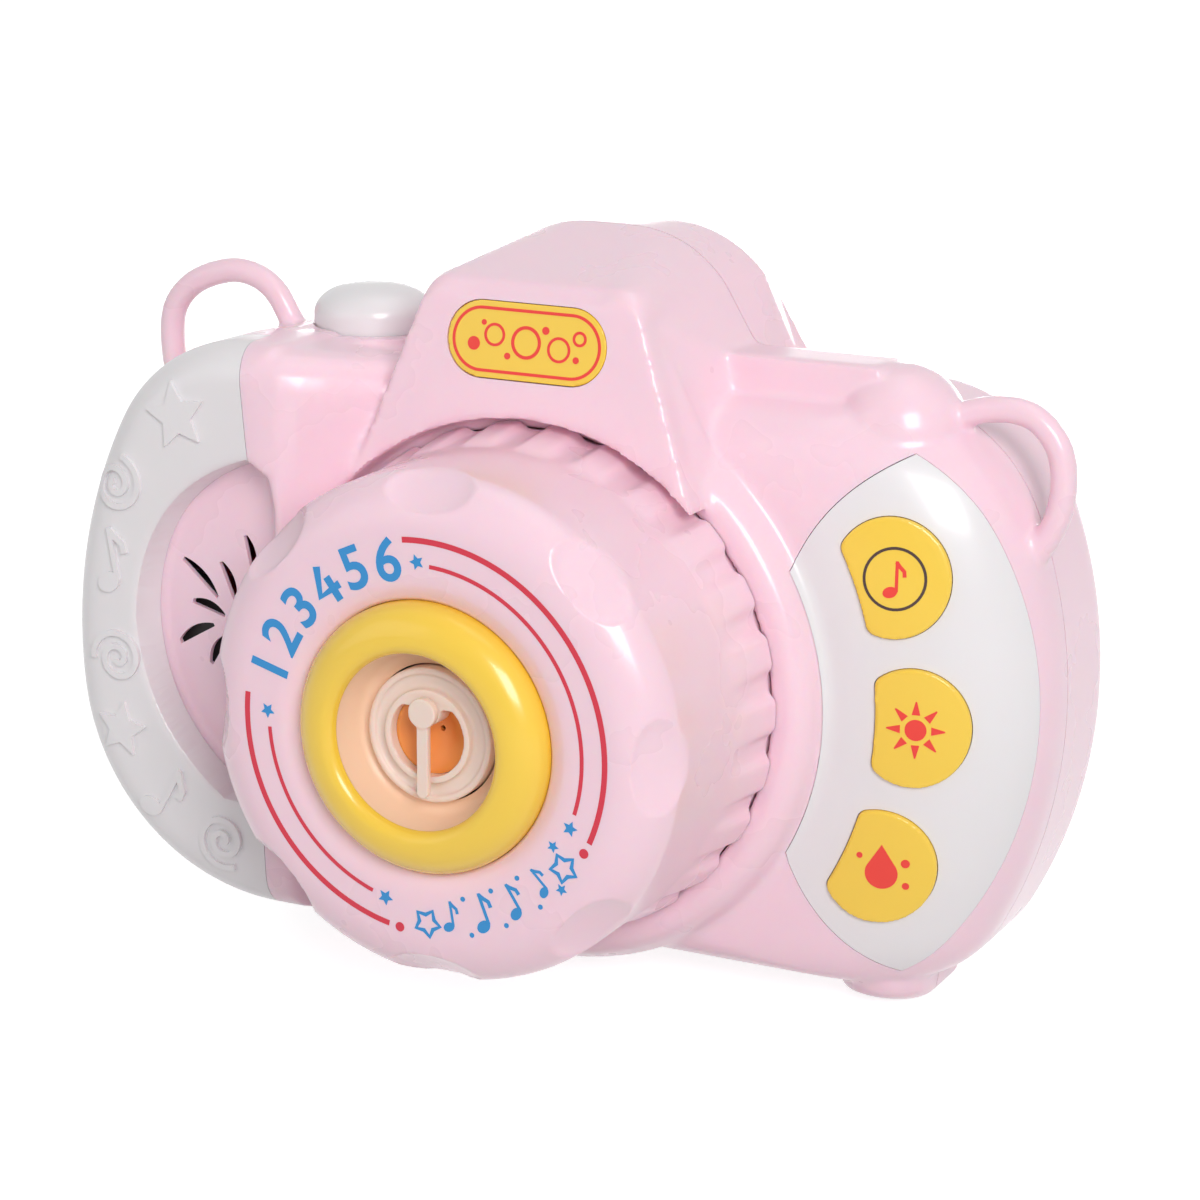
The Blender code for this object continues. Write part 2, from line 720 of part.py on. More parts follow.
def grip_ring():
    """White C that wraps the bulge and lines the recess."""
    made = slab("grip_ring", grip_end_outline(0), GRIP_Y - OVERRUN, TRIM_EDGE_Y)
    keep(made, grip_form("ring_outer", 0, 0))
    core = grip_form("ring_core", SKIN, -OVERRUN / 2)
    cut(core, recess_tool("ring_lining", SKIN, RECESS_FLOOR_Y - GAP))
    cut(made, core, recess_tool("ring_mouth", 0, RECESS_FLOOR_Y + 2 * OVERRUN))
    x, y = SHUTTER_AT
    cut(made, cylinder("ring_notch", BOSS_RADIUS - BOSS_STEP + GAP, at(x, y, BOSS_TOP - BOSS_DEPTH - OVERRUN),
                       at(x, y, BOSS_TOP + OVERRUN), 24))
    return part(made, "white")


def grip_pocket():
    """The space that the white C takes out of the front shell."""
    made = slab("grip_pocket", grip_end_outline(GAP), GRIP_Y - 2 * OVERRUN, TRIM_EDGE_Y + GAP)
    core = grip_form("pocket_core", SKIN + GAP, -OVERRUN / 2)
    cut(core, recess_tool("pocket_lining", SKIN + GAP, RECESS_FLOOR_Y))
    cut(made, core)
    return made


def speaker_slot(index, length):
    """Curved slot of the sunburst in the recess floor."""
    angle = radians(SLOT_START + SLOT_STEP * index)
    start = Vector((SLOT_HUB[0] + SLOT_INNER * cos(angle), SLOT_HUB[1] + SLOT_INNER * sin(angle)))
    end = start + Vector((cos(angle), sin(angle))) * length
    middle = bow(start, end, SLOT_BEND, 5)
    left, right = [], []
    for i, (x, z) in enumerate(middle):
        half = SLOT_WIDTH / 2 * (0.55 + 0.45 * i / 4)
        left.append((x - sin(angle) * half, z + cos(angle) * half))
        right.append((x + sin(angle) * half, z - cos(angle) * half))
    return slab("slot_%d" % index, right + left[::-1], RECESS_FLOOR_Y - OVERRUN, RECESS_FLOOR_Y + OVERRUN)


# Keys, their panel and their board
def key_angle(index):
    return radians((1 - index) * KEY_STEP) + atan2(PANEL_MIDDLE_Z, KEY_RING)


def key_centre(index):
    angle = key_angle(index)
    return KEY_RING * cos(angle), KEY_RING * sin(angle)


def key_axis(index):
    """Direction in which a key is pressed, square to the panel."""
    tilt = radians(KEY_TILT)
    angle = key_angle(index)
    return Vector((-sin(tilt) * cos(angle), cos(tilt), -sin(tilt) * sin(angle)))


def key_prism(name, index, grow, front, back):
    """Bar with the key's outline, sheared along the key's axis."""
    x, z = key_centre(index)
    angle = key_angle(index)
    inner = KEY_RING - KEY_INNER - grow
    radius = KEY_RADIUS + grow
    swing = acos((KEY_RING ** 2 + radius ** 2 - inner ** 2) / (2 * KEY_RING * radius))
    outline = arc((x, z), radius, angle + pi + swing, angle + 3 * pi - swing, 19)
    first, last = outline[-1], outline[0]
    turn_first, turn_last = atan2(first[1], first[0]), atan2(last[1], last[0])
    outline += arc((0, 0), inner, turn_first, turn_last, 7)[1:-1]
    slope = key_axis(index) / key_axis(index).y
    middle = FACE_Y + OVERRUN
    rings = []
    for y in (front, back):
        shift = slope * (y - middle)
        rings.append([at(px + shift.x, y, pz + shift.z) for px, pz in outline])
    return loft(name, rings)


def key_point(index, y):
    """Point on a key's axis at a depth."""
    x, z = key_centre(index)
    slope = key_axis(index) / key_axis(index).y
    return at(x, FACE_Y + OVERRUN, z) + slope * (y - FACE_Y - OVERRUN)


KEY_NAMES = ("key_top", "key_middle", "key_bottom")
KEY_REST_ROOM = KEY_TRAVEL + GAP
KEY_STEM_END_Y = KEY_BOARD_Y - 2 * GAP - KEY_REST_ROOM - KEY_STEM * sin(radians(KEY_TILT))


def key(index):
    made = key_prism(KEY_NAMES[index], index, 0, FACE_Y - OVERRUN, TRIM_EDGE_Y)
    keep(made, body_form("key_face_%d" % index, -KEY_PROUD))
    cut(made, body_form("key_under_%d" % index, KEY_THICKNESS - KEY_PROUD))
    stem = cylinder("key_stem_%d" % index, KEY_STEM, key_point(index, face_depth(KEY_RING)),
                    key_point(index, KEY_STEM_END_Y), 16)
    join(made, stem)
    hinge = pivot("pivot_" + KEY_NAMES[index], key_point(index, FACE_Y + OVERRUN))
    return part(made, "yellow", hinge)


def side_panel():
    made = slab("side_panel", panel_outline(0), FACE_Y - OVERRUN, TRIM_EDGE_Y)
    keep(made, body_form("panel_face", 0))
    cut(made, panel_back)
    for index in range(3):
        cut(made, key_prism("panel_hole_%d" % index, index, KEY_GAP, FACE_Y - OVERRUN,
                            TRIM_EDGE_Y + OVERRUN))
    return part(made, "white")


def panel_pocket():
    made = slab("panel_pocket", panel_outline(GAP), FACE_Y - 2 * OVERRUN, TRIM_EDGE_Y + GAP)
    cut(made, under_panel)
    return made


KEY_BOARD_HALF = 8 * MM
KEY_BOARD_ROOM = 1 * MM
KEY_BOARD_POSTS = (radians(KEY_STEP / 2), radians(-KEY_STEP / 2))


def key_post(index):
    angle = KEY_BOARD_POSTS[index] + atan2(PANEL_MIDDLE_Z, KEY_RING)
    return KEY_RING * cos(angle), KEY_RING * sin(angle)


def key_board():
    """Upright board with three contact pads under the keys."""
    tall = KEY_RING * sin(radians(KEY_STEP)) + KEY_BOARD_HALF / 2
    low = at(MOTOR_X + HOUSING_RADIUS + KEY_BOARD_ROOM, KEY_BOARD_Y, PANEL_MIDDLE_Z - tall)
    high = at(KEY_RING + KEY_BOARD_HALF / 4, KEY_BOARD_Y + BOARD_THICKNESS, PANEL_MIDDLE_Z + tall)
    made = block("key_board", low, high)
    for index in range(3):
        point = key_point(index, KEY_BOARD_Y)
        start = (point.x, KEY_BOARD_Y - 2 * GAP, point.z)
        end = (point.x, KEY_BOARD_Y + BOARD_THICKNESS / 2, point.z)
        join(made, cylinder("key_pad_%d" % index, KEY_STEM + 0.6 * MM, start, end, 16))
    return part(made, "green")


# Shutter button
def shutter():
    x, y = SHUTTER_AT
    floor = BOSS_TOP - BOSS_DEPTH + BOSS_FLOOR
    crown = SHUTTER_TOP - SHUTTER_DOME
    skirt = crown - SHUTTER_SKIRT
    head_top = BOSS_TOP - BOSS_DEPTH - GAP
    hinge = pivot("pivot_shutter", at(x, y, BOSS_TOP))
    profile = [(0, SHUTTER_TOP)]
    for i in range(1, 7):
        turn = pi / 2 * i / 6
        profile.append((SHUTTER_RADIUS * sin(turn) ** 0.8, crown + SHUTTER_DOME * cos(turn)))
    profile += [(SHUTTER_RADIUS, skirt), (SHUTTER_RADIUS - 1.6 * MM, skirt),
                (SHUTTER_RADIUS - 1.6 * MM, crown), (STEM_RADIUS, crown),
                (STEM_RADIUS, head_top), (STEM_RADIUS + 1.4 * MM, head_top),
                (STEM_RADIUS, head_top - 2 * MM), (0, head_top - 2 * MM)]
    made = turned("shutter_button", [(r, -z) for r, z in profile], 24)
    made.matrix_world = Matrix.Translation(at(x, y, 0))
    part(made, "white", hinge)
    coil = []
    low, high = floor + GAP + SPRING_WIRE * 2, crown - GAP - SPRING_WIRE * 2
    turns = 4
    for i in range(turns * 10 + 1):
        turn = 2 * pi * i / 10
        rise = low + (high - low) * i / (turns * 10)
        coil.append(at(x + SPRING_RADIUS * cos(turn), y + SPRING_RADIUS * sin(turn), rise))
    part(rod("shutter_spring", coil, SPRING_WIRE * 2, 0), "steel")
    switch_top = head_top - 2 * MM - SHUTTER_TRAVEL - GAP
    half = 3.2 * MM
    board = MAIN_BOARD_Z + BOARD_THICKNESS + GAP
    made = block("shutter_switch", at(x - half, y - half, board),
                 at(x + half, y + half, switch_top - 1 * MM))
    join(made, cylinder("switch_plunger", half / 2, at(x, y, switch_top - 2 * MM), at(x, y, switch_top), 16))
    part(made, "black")


def boss_bore(name):
    """Room for the button above the boss's floor."""
    x, y = SHUTTER_AT
    floor = BOSS_TOP - BOSS_DEPTH + BOSS_FLOOR
    return cylinder(name, SHUTTER_RADIUS + KEY_GAP, at(x, y, floor), at(x, y, BOSS_TOP + OVERRUN), 28)


def boss_guide():
    """Hole in the boss's floor for the button's stem."""
    x, y = SHUTTER_AT
    floor = BOSS_TOP - BOSS_DEPTH + BOSS_FLOOR
    return cylinder("boss_guide", STEM_RADIUS + KEY_GAP, at(x, y, floor - 3 * BOSS_FLOOR),
                    at(x, y, floor + OVERRUN), 20)


# Shells
def screw_spots():
    spots = []
    for side in (1, -1):
        for rise in (1, -1):
            angle = radians(SCREW_ANGLE)
            spots.append((side * SCREW_RING * cos(angle), rise * SCREW_RING * sin(angle)))
        spots.append((side * SCREW_LOW_X, SCREW_BOSS - BODY_BOTTOM + WALL / 2))
    return spots


def badge_matrix(depth):
    """Frame on the hood's leaning face, with local Z pointing out of it."""
    y = HOOD_Y + HOOD_LEAN * (BADGE_Z - HOOD_TIP[1])
    lean = atan2(HOOD_LEAN, 1)
    face = Matrix.Translation(at(0, y, BADGE_Z)) @ Matrix.Rotation(pi / 2 - lean, 4, "X")
    return face @ Matrix.Translation((0, 0, depth))


def badge_slab(name, grow, low, high):
    outline = stadium(BADGE_LENGTH + 2 * grow, BADGE_HEIGHT + 2 * grow, 11)
    made = slab(name, outline, 0, high - low)
    made.matrix_world = badge_matrix((low + high) / 2)
    return made


def badge_plate():
    made = badge_slab("badge_plate", 0, GAP - BADGE_DEPTH, 0)
    soften(made, 0.3 * MM, 1)
    return part(made, "yellow")


PLATE_Y = GEAR_FRONT_Y + GEAR_WIDTH + PLATE_GAP
GEAR_X = MOTOR_X + GEAR_MODULE * (PINION_TEETH + GEAR_TEETH) / 2 * cos(radians(GEAR_ANGLE))
GEAR_Z = GEAR_MODULE * (PINION_TEETH + GEAR_TEETH) / 2 * sin(radians(GEAR_ANGLE))
PLATE_LOW = (GEAR_X - 14 * MM, GEAR_Z - 22 * MM)
PLATE_HIGH = (MOTOR_X + 16 * MM, 25 * MM)


def plate_posts():
    inset = 3 * MM
    return [(x, z) for x in (PLATE_LOW[0] + inset, PLATE_HIGH[0] - inset)
            for z in (PLATE_LOW[1] + inset, PLATE_HIGH[1] - inset)]


TUBE_IN_X = -17 * MM
TUBE_IN_Z = -19 * MM


def front_shell():
    made = join(case_form("front_shell"), grip_outer)
    cut(made, lens_well)
    collar = turned("collar", [(COLLAR_RADIUS - 1.5 * MM, COLLAR_Y), (COLLAR_RADIUS, COLLAR_Y + 1.4 * MM),
                               (COLLAR_RADIUS, FACE_Y + WALL / 2), (COLLAR_BORE, FACE_Y + WALL / 2),
                               (COLLAR_BORE, COLLAR_Y + 1.6 * MM), (COLLAR_BORE + 1.5 * MM, COLLAR_Y)], 56)
    cut(made, hollow)
    join(made, collar)
    for index, (x, z) in enumerate(screw_spots()):
        post = cylinder("front_post_%d" % index, SCREW_BOSS, at(x, SEAM_Y - BOSS_LENGTH, z),
                        at(x, SEAM_Y + OVERRUN, z), 12)
        join(made, keep(post, body_form("post_trim_%d" % index, WALL / 2)))
    for index, (x, z) in enumerate(plate_posts()):
        join(made, cylinder("plate_post_%d" % index, 2 * MM, at(x, FACE_Y + WALL / 2, z),
                            at(x, PLATE_Y - GAP, z), 10))
    for index in range(2):
        x, z = key_post(index)
        join(made, cylinder("key_post_%d" % index, 1.8 * MM, at(x, FACE_Y + WALL + SKIN + 2 * MM, z),
                            at(x, KEY_BOARD_Y - GAP, z), 12))
    for index, x in enumerate(MAIN_BOARD):
        inward = 1 if index == 0 else -1
        front = RECESS_FLOOR_Y + GAP + WALL / 2 if index == 0 else FACE_Y
        low = at(min(x, x + inward * SHELF_WIDTH), front, MAIN_BOARD_Z - 3 * MM)
        high = at(max(x, x + inward * SHELF_WIDTH), MAIN_BOARD_Y[1], MAIN_BOARD_Z - GAP)
        join(made, shelf_block("shelf_%d" % index, low, high))
    cut(made, grip_pocket(), panel_pocket(), recess_tool("shell_recess", 0, RECESS_FLOOR_Y))
    x, y = SHUTTER_AT
    tube = cylinder("boss_tube", BOSS_RADIUS - BOSS_STEP, at(x, y, BOSS_TOP - BOSS_DEPTH),
                    at(x, y, BOSS_TOP - BOSS_STEP), 24)
    join(made, keep(tube, half_space("boss_front", -FAR, SEAM_Y - GAP)))
    cut(made, boss_bore("boss_bore"), boss_guide())
    for index in range(3):
        cut(made, cylinder("stem_hole_%d" % index, KEY_STEM + KEY_GAP, key_point(index, FACE_Y - OVERRUN),
                           key_point(index, KEY_BOARD_Y - 1 * MM), 16))
    for index, length in enumerate(SLOT_LENGTHS):
        cut(made, speaker_slot(index, length))
    cut(made, cylinder("duct_hole", DUCT_RADIUS + GAP, at(0, COLLAR_Y, 0),
                       at(0, FACE_Y + 2 * OVERRUN, 0), 32))
    cut(made, cylinder("tube_hole", TUBE_ROD + GAP, at(TUBE_IN_X, COLLAR_Y, TUBE_IN_Z),
                       at(TUBE_IN_X, FACE_Y + 2 * OVERRUN, TUBE_IN_Z), 12))
    for index, (x, z) in enumerate(screw_spots()):
        cut(made, cylinder("front_pilot_%d" % index, SCREW_ROD + GAP, at(x, SEAM_Y - BOSS_LENGTH + 2 * MM, z),
                           at(x, SEAM_Y + 2 * OVERRUN, z), 10))
    cut(made, badge_slab("badge_pocket", GAP, -BADGE_DEPTH, OVERRUN))
    cut(made, half_space("behind_seam", SEAM_Y, FAR))
    return part(made, "pink")


def shelf_block(name, low, high):
    """Board shelf trimmed to lie inside the shell's wall."""
    made = block(name, low, high)
    trim = body_form(name + "_trim", WALL / 2)
    join(trim, grip_form(name + "_grip", SKIN + GAP + WALL / 2, WALL / 2))
    return keep(made, trim)


TRAY_TALL = CELLS * CELL_PITCH / 2 + TRAY_WALL
TRAY_LEFT_X = TRAY_RIGHT_X - CELL_LENGTH - CELL_NUB_LENGTH - CONTACT_ROOM - 2 * TRAY_WALL
TRAY_BACK_Y = REAR_Y - WALL - GAP


def rear_shell():
    made = case_form("rear_shell")
    cut(made, rear_hollow())
    for index, (x, z) in enumerate(screw_spots()):
        post = cylinder("rear_post_%d" % index, SCREW_BOSS, at(x, SEAM_Y - OVERRUN, z),
                        at(x, REAR_Y - WALL / 2, z), 12)
        join(made, keep(post, body_form("rear_post_trim_%d" % index, WALL / 2)))
    for index, (x, z) in enumerate(screw_spots()):
        cut(made, cylinder("rear_bore_%d" % index, SCREW_ROD + GAP, at(x, SEAM_Y - OVERRUN, z),
                           at(x, REAR_Y, z), 10))
        cut(made, cylinder("rear_sink_%d" % index, SCREW_HEAD + GAP, at(x, SCREW_SEAT_Y, z),
                           at(x, REAR_Y + OVERRUN, z), 12))
    cut(made, block("door_hole", at(TRAY_LEFT_X, REAR_Y - OVERRUN, -TRAY_TALL),
                    at(TRAY_RIGHT_X, REAR_Y + OVERRUN, TRAY_TALL)))
    step = REAR_Y - DOOR_THICKNESS / 2 - GAP
    cut(made, block("door_rebate", at(TRAY_LEFT_X - DOOR_LIP, step, -TRAY_TALL - DOOR_LIP),
                    at(TRAY_RIGHT_X + DOOR_LIP, REAR_Y + OVERRUN, TRAY_TALL + DOOR_LIP)))
    cut(made, boss_bore("rear_boss_bore"))
    cut(made, half_space("ahead_of_seam", -FAR, SEAM_Y + GAP))
    return part(made, "pink")


def rear_hollow():
    made = body_form("rear_hollow", WALL)
    return join(made, hump_form("rear_hump_hollow", WALL))


SCREW_SEAT_Y = REAR_Y - 9 * MM


def case_screws():
    for index, (x, z) in enumerate(screw_spots()):
        made = cylinder("case_screw_%d" % (index + 1), SCREW_ROD, at(x, SEAM_Y - BOSS_LENGTH + 3 * MM, z),
                        at(x, SCREW_SEAT_Y + GAP + 0.2 * MM, z), 12)
        head = cylinder("screw_head_%d" % index, SCREW_HEAD, at(x, SCREW_SEAT_Y + GAP, z),
                        at(x, SCREW_SEAT_Y + GAP + SCREW_HEAD_HEIGHT, z), 16)
        part(join(made, head), "steel")


# Strap loops
def strap_loop(name, side, y, route):
    """Bent rod whose two feet stand on the shoulder of the front shell."""
    points = [at(side * (BODY_RADIUS + out * MM), y, z * MM) for out, z in smooth(route, 3)]
    made = rod(name, points, LOOP_ROD, 3)
    boss_x, boss_y = SHUTTER_AT
    boss = cylinder(name + "_boss", BOSS_RADIUS + GAP, at(boss_x, boss_y, BOSS_TOP - BOSS_DEPTH),
                    at(boss_x, boss_y, BOSS_TOP + GAP), 28)
    cut(made, body_form(name + "_seat", -GAP), dome_form(name + "_dome", GAP),
        grip_form(name + "_grip", -2 * GAP, -GAP), boss)
    return part(made, "pink")


def smooth(points, steps):
    """Catmull-Rom curve through points."""
    route = []
    for i in range(1, len(points) - 2):
        before, start, end, after = (Vector(points[i + k]) for k in (-1, 0, 1, 2))
        for step in range(steps):
            t = step / steps
            bend = (2 * before - 5 * start + 4 * end - after) * t ** 2
            twist = (3 * start - before - 3 * end + after) * t ** 3
            route.append((2 * start + (end - before) * t + bend + twist) / 2)
    return [Vector(points[0])] + route + [Vector(points[-2]), Vector(points[-1])]


# Lens group
def lens_profile(y):
    """Outer radius of the lens barrel at a depth, without scallops or dimples."""
    back = LENS_BACK_Y
    front = LENS_FACE_Y
    t = (y - back) / (front - back)
    edge = 0.955
    if t > 0.8:
        turn = (t - 0.8) / 0.2
        edge -= 0.205 * (1 - sqrt(max(1 - turn ** 2, 0)))
    if t < 0.35:
        edge += 0.045 * (1 + cos(pi * t / 0.35)) / 2
    return LENS_RADIUS * edge


LENS_SEGMENTS = LENS_SCALLOPS * 3


def lens_ring(y):
    """One ring of the barrel, with its scallops behind and its dimples in front."""
    depth = LENS_BACK_Y - y
    fade = max(1 - depth / SCALLOP_LENGTH, 0)
    length = LENS_BACK_Y - LENS_FACE_Y
    ring = []
    for i in range(LENS_SEGMENTS):
        turn = 2 * pi * i / LENS_SEGMENTS
        radius = lens_profile(y) - SCALLOP_DEPTH * fade * (1 + cos(LENS_SCALLOPS * turn)) / 2
        near = ((depth - 0.78 * length) / (0.17 * length)) ** 2
        swing = (turn * DIMPLES / (2 * pi) + 0.5) % 1 - 0.5
        near += (swing / 0.34) ** 2
        if near < 1:
            radius -= DIMPLE_DEPTH * (1 - near) ** 2 * 1.6
        ring.append(at(radius * cos(turn), y, radius * sin(turn)))
    return ring


def lens_barrel(hinge):
    length = LENS_BACK_Y - LENS_FACE_Y
    shares = (0, 0.12, 0.25, 0.38, 0.56, 0.68, 0.8, 0.87, 0.93, 0.98, 1)
    rings = [lens_ring(LENS_BACK_Y - length * share) for share in shares]
    made = loft("lens_barrel", rings)
    neck_back = FACE_Y + WALL / 4 - GAP
    join(made, cylinder("lens_neck", LENS_NECK, at(0, LENS_BACK_Y - OVERRUN, 0), at(0, neck_back, 0), 48))
    inner = [(0, LENS_FACE_Y + LENS_SKIN)]
    for share in (0.99, 0.95, 0.9, 0.8, 0.62, 0.4):
        y = LENS_BACK_Y - (length - LENS_SKIN) * share
        inner.append((lens_profile(LENS_BACK_Y - length * share) - LENS_SKIN - DIMPLE_DEPTH, y))
    wide = TANK_FLANGE + 2 * GAP
    inner += [(wide, TANK_BACK_Y - OVERRUN), (wide, neck_back + OVERRUN), (0, neck_back + OVERRUN)]
    cut(made, turned("lens_hollow", inner, 40))
    cut(made, cylinder("lens_mouth", LENS_MOUTH, at(0, LENS_FACE_Y - OVERRUN, 0), at(0, TANK_FRONT_Y, 0), 48))
    return part(made, "pink", hinge)


def lens_bezel(hinge):
    """Rounded yellow ring in the lens mouth."""
    crown = (BEZEL_RADIUS - BEZEL_BORE) / 2
    middle = (BEZEL_RADIUS + BEZEL_BORE) / 2
    shoulder = BEZEL_FRONT_Y + crown
    profile = []
    for i in range(8):
        turn = pi * i / 7
        profile.append((middle - crown * cos(turn), shoulder - crown * sin(turn)))
    profile += [(BEZEL_RADIUS, BEZEL_BACK_Y), (BEZEL_BORE, BEZEL_BACK_Y)]
    return part(turned("lens_bezel", profile, 36), "yellow", hinge)


def lens_cup(hinge):
    """Bowl behind the bezel, with a hole round the nozzle."""
    front = BEZEL_BACK_Y + GAP
    rim = LENS_MOUTH + 2 * MM
    bore = NOZZLE_RADIUS + 2 * RUN_GAP
    profile = [(rim, front), (rim, front + CUP_WALL), (BEZEL_BORE + CUP_WALL, front + CUP_WALL),
               (TANK_INNER + CUP_WALL, CUP_BACK_Y - 2 * MM), (bore + CUP_WALL, CUP_BACK_Y),
               (bore, CUP_BACK_Y), (TANK_INNER, CUP_BACK_Y - 2 * MM - CUP_WALL), (BEZEL_BORE, front)]
    return part(turned("lens_cup", profile, 32), "peach", hinge)


def solution_tank(hinge):
    front = CUP_BACK_Y + GAP
    wall = TANK_WALL
    profile = [(TANK_OUTER, front), (TANK_OUTER, TANK_BACK_Y - wall), (TANK_FLANGE, TANK_BACK_Y - wall),
               (TANK_FLANGE, TANK_BACK_Y), (TANK_OUTER - wall, TANK_BACK_Y),
               (TANK_OUTER - wall, front + wall),
               (TANK_INNER + wall, front + wall), (TANK_INNER + wall, TANK_BACK_Y), (TANK_INNER, TANK_BACK_Y),
               (TANK_INNER, front)]
    part(turned("solution_tank", profile, 28), "clear", hinge)
    lid = TANK_BACK_Y + GAP
    profile = [(TANK_FLANGE, lid), (TANK_FLANGE, lid + wall), (TANK_INNER, lid + wall), (TANK_INNER, lid)]
    made = turned("tank_lid", profile, 28)
    part(cut(made, cylinder("tank_inlet", TUBE_ROD + 2 * MM, at(TUBE_IN_X, lid - OVERRUN, TUBE_IN_Z),
                            at(TUBE_IN_X, lid + OVERRUN, TUBE_IN_Z), 12)), "clear", hinge)
    middle = (DUCT_RADIUS + TANK_INNER) / 2
    seat = TANK_BACK_Y - 4 * MM
    ring = arc((middle, seat), SEAL_ROD, 0, 5 * pi / 3, 6)
    part(turned("lens_seal", ring, 24), "rubber", hinge)


# Air path
def air_duct():
    inner = DUCT_RADIUS - DUCT_WALL
    flange = DUCT_BACK_Y - 1.5 * MM
    profile = [(DUCT_RADIUS, DUCT_FRONT_Y), (DUCT_RADIUS, flange), (DUCT_FLANGE, flange),
               (DUCT_FLANGE, DUCT_BACK_Y), (inner, DUCT_BACK_Y), (inner, DUCT_FRONT_Y)]
    part(turned("air_duct", profile, 32), "orange")


def bubble_nozzle():
    """Ring that carries the soap film, with a web for the wiper's pivot."""
    back = DUCT_FRONT_Y - GAP
    rim = 1.2 * MM
    step = NOZZLE_RADIUS - rim
    mid = NOZZLE_BORE + rim
    profile = [(NOZZLE_RADIUS, NOZZLE_FRONT_Y + 0.8 * MM), (NOZZLE_RADIUS, back), (NOZZLE_BORE, back),
               (NOZZLE_BORE, NOZZLE_FRONT_Y), (mid, NOZZLE_FRONT_Y), (mid, NOZZLE_FRONT_Y + 1.6 * MM),
               (step, NOZZLE_FRONT_Y + 1.6 * MM), (step, NOZZLE_FRONT_Y + 0.8 * MM)]
    made = turned("bubble_nozzle", profile, 28)
    half = NOZZLE_BORE + rim / 2
    swing = asin((WIPER_RISE - WIPER_HUB) / half)
    outline = arc((0, 0), half, swing, pi - swing, 11)
    join(made, slab("nozzle_web", outline, NOZZLE_FRONT_Y + 0.1 * MM, NOZZLE_FRONT_Y + NOZZLE_WEB))
    join(made, cylinder("nozzle_boss", WIPER_HUB, at(0, NOZZLE_FRONT_Y, WIPER_RISE),
                        at(0, NOZZLE_FRONT_Y + 4 * MM, WIPER_RISE), 20))
    cut(made, cylinder("nozzle_hole", WIPER_ROD + RUN_GAP, at(0, NOZZLE_FRONT_Y - OVERRUN, WIPER_RISE),
                       at(0, DUCT_FRONT_Y + OVERRUN, WIPER_RISE), 16))
    part(made, "natural")


ROCKER_Y = HOUSING_BACK_Y + GAP


def wiper():
    hinge = pivot("pivot_wiper", at(0, NOZZLE_FRONT_Y, WIPER_RISE))
    back = NOZZLE_FRONT_Y - RUN_GAP
    front = back - WIPER_THICKNESS
    made = cylinder("wiper_arm", WIPER_HUB, at(0, front, WIPER_RISE), at(0, back, WIPER_RISE), 24)
    half = WIPER_WIDTH / 2
    outline = ([(half, WIPER_RISE), (-half, WIPER_RISE)]
               + arc((0, WIPER_RISE - WIPER_LENGTH + half), half, pi, 2 * pi, 7))
    join(made, slab("wiper_blade", outline, front + 0.3 * MM, back - 0.1 * MM))
    cut(made, cylinder("wiper_bore", WIPER_ROD + GAP, at(0, front + 0.6 * MM, WIPER_RISE),
                       at(0, back + OVERRUN, WIPER_RISE), 16))
    part(made, "natural", hinge)
    made = cylinder("wiper_shaft", WIPER_ROD, at(0, front + 0.6 * MM + GAP, WIPER_RISE),
                    at(0, ROCKER_Y + ROCKER_THICKNESS, WIPER_RISE), 16)
    toward = Vector((GEAR_X, GEAR_Z - WIPER_RISE)).normalized()
    side = Vector((-toward.y, toward.x)) * ROCKER_WIDTH / 2
    centre = Vector((0, WIPER_RISE))
    tip = centre + toward * ROCKER_LENGTH
    angle = atan2(toward.y, toward.x)
    outline = (arc(centre, ROCKER_WIDTH / 2, angle + pi / 2, angle + 3 * pi / 2, 7)
               + arc(tip, ROCKER_WIDTH / 2, angle - pi / 2, angle + pi / 2, 7))
    join(made, slab("rocker", outline, ROCKER_Y, ROCKER_Y + ROCKER_THICKNESS))
    part(made, "grey", hinge)


# Blower and drive
def fan_housing():
    """Round blower chamber with a chute that leads to the duct."""
    centre = (MOTOR_X, 0)
    left = -CHUTE_HALF

    def outline(inset):
        radius = HOUSING_RADIUS - inset
        half = CHUTE_HALF - inset
        swing = asin(half / radius)
        round_side = arc(centre, radius, swing - pi, pi - swing, 27)
        return round_side + [(left + inset, half), (left + inset, -half)]

    made = slab("fan_housing", outline(0), HOUSING_FRONT_Y, HOUSING_BACK_Y)
    cut(made, slab("fan_room", outline(HOUSING_WALL), HOUSING_FRONT_Y + HOUSING_WALL,
                   HOUSING_BACK_Y - HOUSING_WALL))
    cut(made, cylinder("chute_mouth", DUCT_RADIUS - DUCT_WALL, at(0, HOUSING_FRONT_Y - OVERRUN, 0),
                       at(0, HOUSING_FRONT_Y + 2 * HOUSING_WALL, 0), 32))
    cut(made, cylinder("fan_intake", FAN_RADIUS / 2, at(MOTOR_X, HOUSING_FRONT_Y - OVERRUN, 0),
                       at(MOTOR_X, HOUSING_FRONT_Y + 2 * HOUSING_WALL, 0), 32))
    back = HOUSING_BACK_Y - 2 * HOUSING_WALL
    for name, radius, x, z in (("shaft_way", SHAFT_ROD + RUN_GAP, MOTOR_X, 0),
                               ("rocker_way", WIPER_ROD + RUN_GAP, 0, WIPER_RISE),
                               ("supply_way", TUBE_ROD + RUN_GAP, SUPPLY_X, SUPPLY_Z)):
        cut(made, cylinder(name, radius, at(x, back, z), at(x, HOUSING_BACK_Y + OVERRUN, z), 16))
    part(made, "grey")


